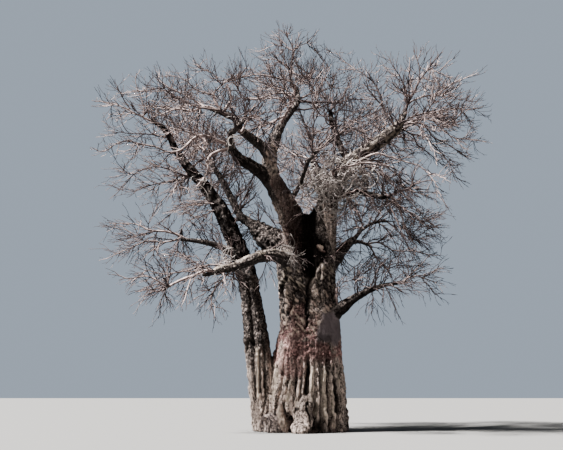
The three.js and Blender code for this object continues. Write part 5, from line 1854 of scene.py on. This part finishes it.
def limbTubeTree():
    tree = bpy.data.node_groups.new("limbTubes", "GeometryNodeTree")
    face = tree.interface
    face.new_socket("Geometry", in_out="INPUT", socket_type="NodeSocketGeometry")
    sides = face.new_socket("Sides", in_out="INPUT", socket_type="NodeSocketInt")
    sides.default_value = 3
    for label in barkLabels:
        face.new_socket(label, in_out="INPUT", socket_type="NodeSocketMaterial")
    face.new_socket("Geometry", in_out="OUTPUT", socket_type="NodeSocketGeometry")
    new, link = tree.nodes.new, tree.links.new
    source, result = new("NodeGroupInput"), new("NodeGroupOutput")
    girth, tone = namedAttribute(tree, "girth", "FLOAT"), namedAttribute(tree, "tone", "INT")
    toCurve = new("GeometryNodeMeshToCurve")
    circle = new("GeometryNodeCurvePrimitiveCircle")
    circle.inputs["Radius"].default_value = 1.0
    toMesh = new("GeometryNodeCurveToMesh")
    toMesh.inputs["Fill Caps"].default_value = True
    shade = new("GeometryNodeSetShadeSmooth")
    realize = new("GeometryNodeRealizeInstances")
    link(source.outputs["Geometry"], toCurve.inputs["Mesh"])
    link(toCurve.outputs["Curve"], toMesh.inputs["Curve"])
    link(source.outputs["Sides"], circle.inputs["Resolution"])
    link(circle.outputs["Curve"], toMesh.inputs["Profile Curve"])
    link(girth, toMesh.inputs["Scale"])
    link(toMesh.outputs["Mesh"], shade.inputs["Geometry"])
    link(shade.outputs["Geometry"], realize.inputs["Geometry"])
    last = realize.outputs["Geometry"]
    for index, label in enumerate(barkLabels):
        same = new("FunctionNodeCompare")
        same.data_type = "INT"
        same.operation = "EQUAL"
        numbers = [socket for socket in same.inputs if socket.type == "INT"]
        link(tone, numbers[0])
        numbers[1].default_value = index - 1  # grey is tone -1
        paint = new("GeometryNodeSetMaterial")
        link(last, paint.inputs["Geometry"])
        link(same.outputs["Result"], paint.inputs["Selection"])
        link(source.outputs[label], paint.inputs["Material"])
        last = paint.outputs["Geometry"]
    link(last, result.inputs["Geometry"])
    return tree


tubeTree = limbTubeTree()


def tubesFrom(branches, tones, sides):
    points = np.concatenate([branch[0] for branch in branches])
    girths = np.concatenate([branch[1] for branch in branches])
    counts = [len(branch[0]) for branch in branches]
    starts = np.concatenate([[0], np.cumsum(counts)[:-1]])
    heads = np.concatenate([np.arange(s, s + n - 1) for s, n in zip(starts, counts)])
    mesh = bpy.data.meshes.new("growthLines")
    mesh.vertices.add(len(points))
    mesh.vertices.foreach_set("co", points.ravel())
    mesh.edges.add(len(heads))
    mesh.edges.foreach_set("vertices", np.stack([heads, heads + 1], axis=1).ravel())
    mesh.attributes.new("girth", "FLOAT", "POINT").data.foreach_set("value", girths.astype(np.float32))
    pointTones = np.repeat(np.array(tones, dtype=np.int32), counts)
    mesh.attributes.new("tone", "INT", "POINT").data.foreach_set("value", pointTones)
    mesh.update()
    lines = newObject("growthLines", mesh)
    modifier = lines.modifiers.new("limbTubes", "NODES")
    modifier.node_group = tubeTree
    sockets = {item.name: item.identifier for item in tubeTree.interface.items_tree
               if item.in_out == "INPUT"}
    modifier[sockets["Sides"]] = sides
    for label, material in zip(barkLabels, twigBarks):
        modifier[sockets[label]] = material
    evaluated = lines.evaluated_get(bpy.context.evaluated_depsgraph_get())
    tubes = bpy.data.meshes.new_from_object(evaluated)
    barks = list(twigLook["barks"])
    order = np.array([barks.index(bark.name) if bark else 0 for bark in tubes.materials], dtype=np.int32)
    index = readArray(tubes.polygons, "material_index", 1, np.int32).ravel()
    tubes.polygons.foreach_set("material_index", order[index])
    lines.modifiers.clear()
    bpy.data.objects.remove(lines)
    return tubes


pieceGroups = {
    "low_left_twigs": ("left_low", "left_hanging", "left_middle"),
    "side_twigs": ("side_tip", "side_shoulder", "side_second", "side_third", "side_hanging"),
    "upper_left_twigs": ("left_upper", "inner_left", "left_arch", "front_left", "front_far_left"),
    "crown_top_twigs": ("top", "top_right", "front_top", "rear_top"),
    "upper_right_twigs": ("right_rise", "right_top", "right_tip", "front_right", "front_far_right"),
    "right_side_twigs": ("right_sweep", "right_low", "right_middle", "right_inner"),
    "low_right_twigs": ("right_rear", "right_hanging", "lowest_tip", "lowest_hanging"),
    "rear_twigs_left": ("rear_left", "rear_low_left", "rear_hanging"),
    "rear_twigs_right": ("rear_right", "rear_low_right", "rear_middle"),
}


toneRule = {
    "patches": (0.6, 0.45),  # share and scale of the patches of light and dark
    "paler": (0.03, 11.0),  # how much paler for each metre above a height
    "chance": (-0.6, 0.6),
    "pale": 0.62,  # from here up pale, from the next brown, below it dark
    "brown": 0.20,
}


def toneOf(branch):
    if len(branch) > 3:
        return branch[3]
    top = branch[0][-1]
    share, scale = toneRule["patches"]
    perMetre, level = toneRule["paler"]
    lit = share * noise.noise(Vector(top) * scale) + perMetre * (top[2] - level)
    lit += dice.uniform(*toneRule["chance"])
    return 0 if lit > toneRule["pale"] else (1 if lit > toneRule["brown"] else 2)


def joinMeshes(name, meshes):
    joined = bmesh.new()
    for mesh in meshes:
        joined.from_mesh(mesh)
    result = bpy.data.meshes.new(name)
    joined.to_mesh(result)
    joined.free()
    for material in twigBarks:
        result.materials.append(material)
    return result


def buildTwigs():
    grown = growTree()
    for pieceName, parts in pieceGroups.items():
        members = {part + "_twigs" for part in parts}
        meshes = []
        for sides, branches in grown:
            mine = [branch for branch in branches if masses[branch[2]]["name"] in members]
            if mine:
                meshes.append(tubesFrom(mine, [toneOf(branch) for branch in mine], sides))
        mesh = joinMeshes(pieceName, meshes)
        addPiece(pieceName + "_piece", mesh, sorted(members))
        mesh.calc_loop_triangles()
        print(pieceName, len(mesh.loop_triangles), "triangles")


buildTwigs()
print("twigs ready")
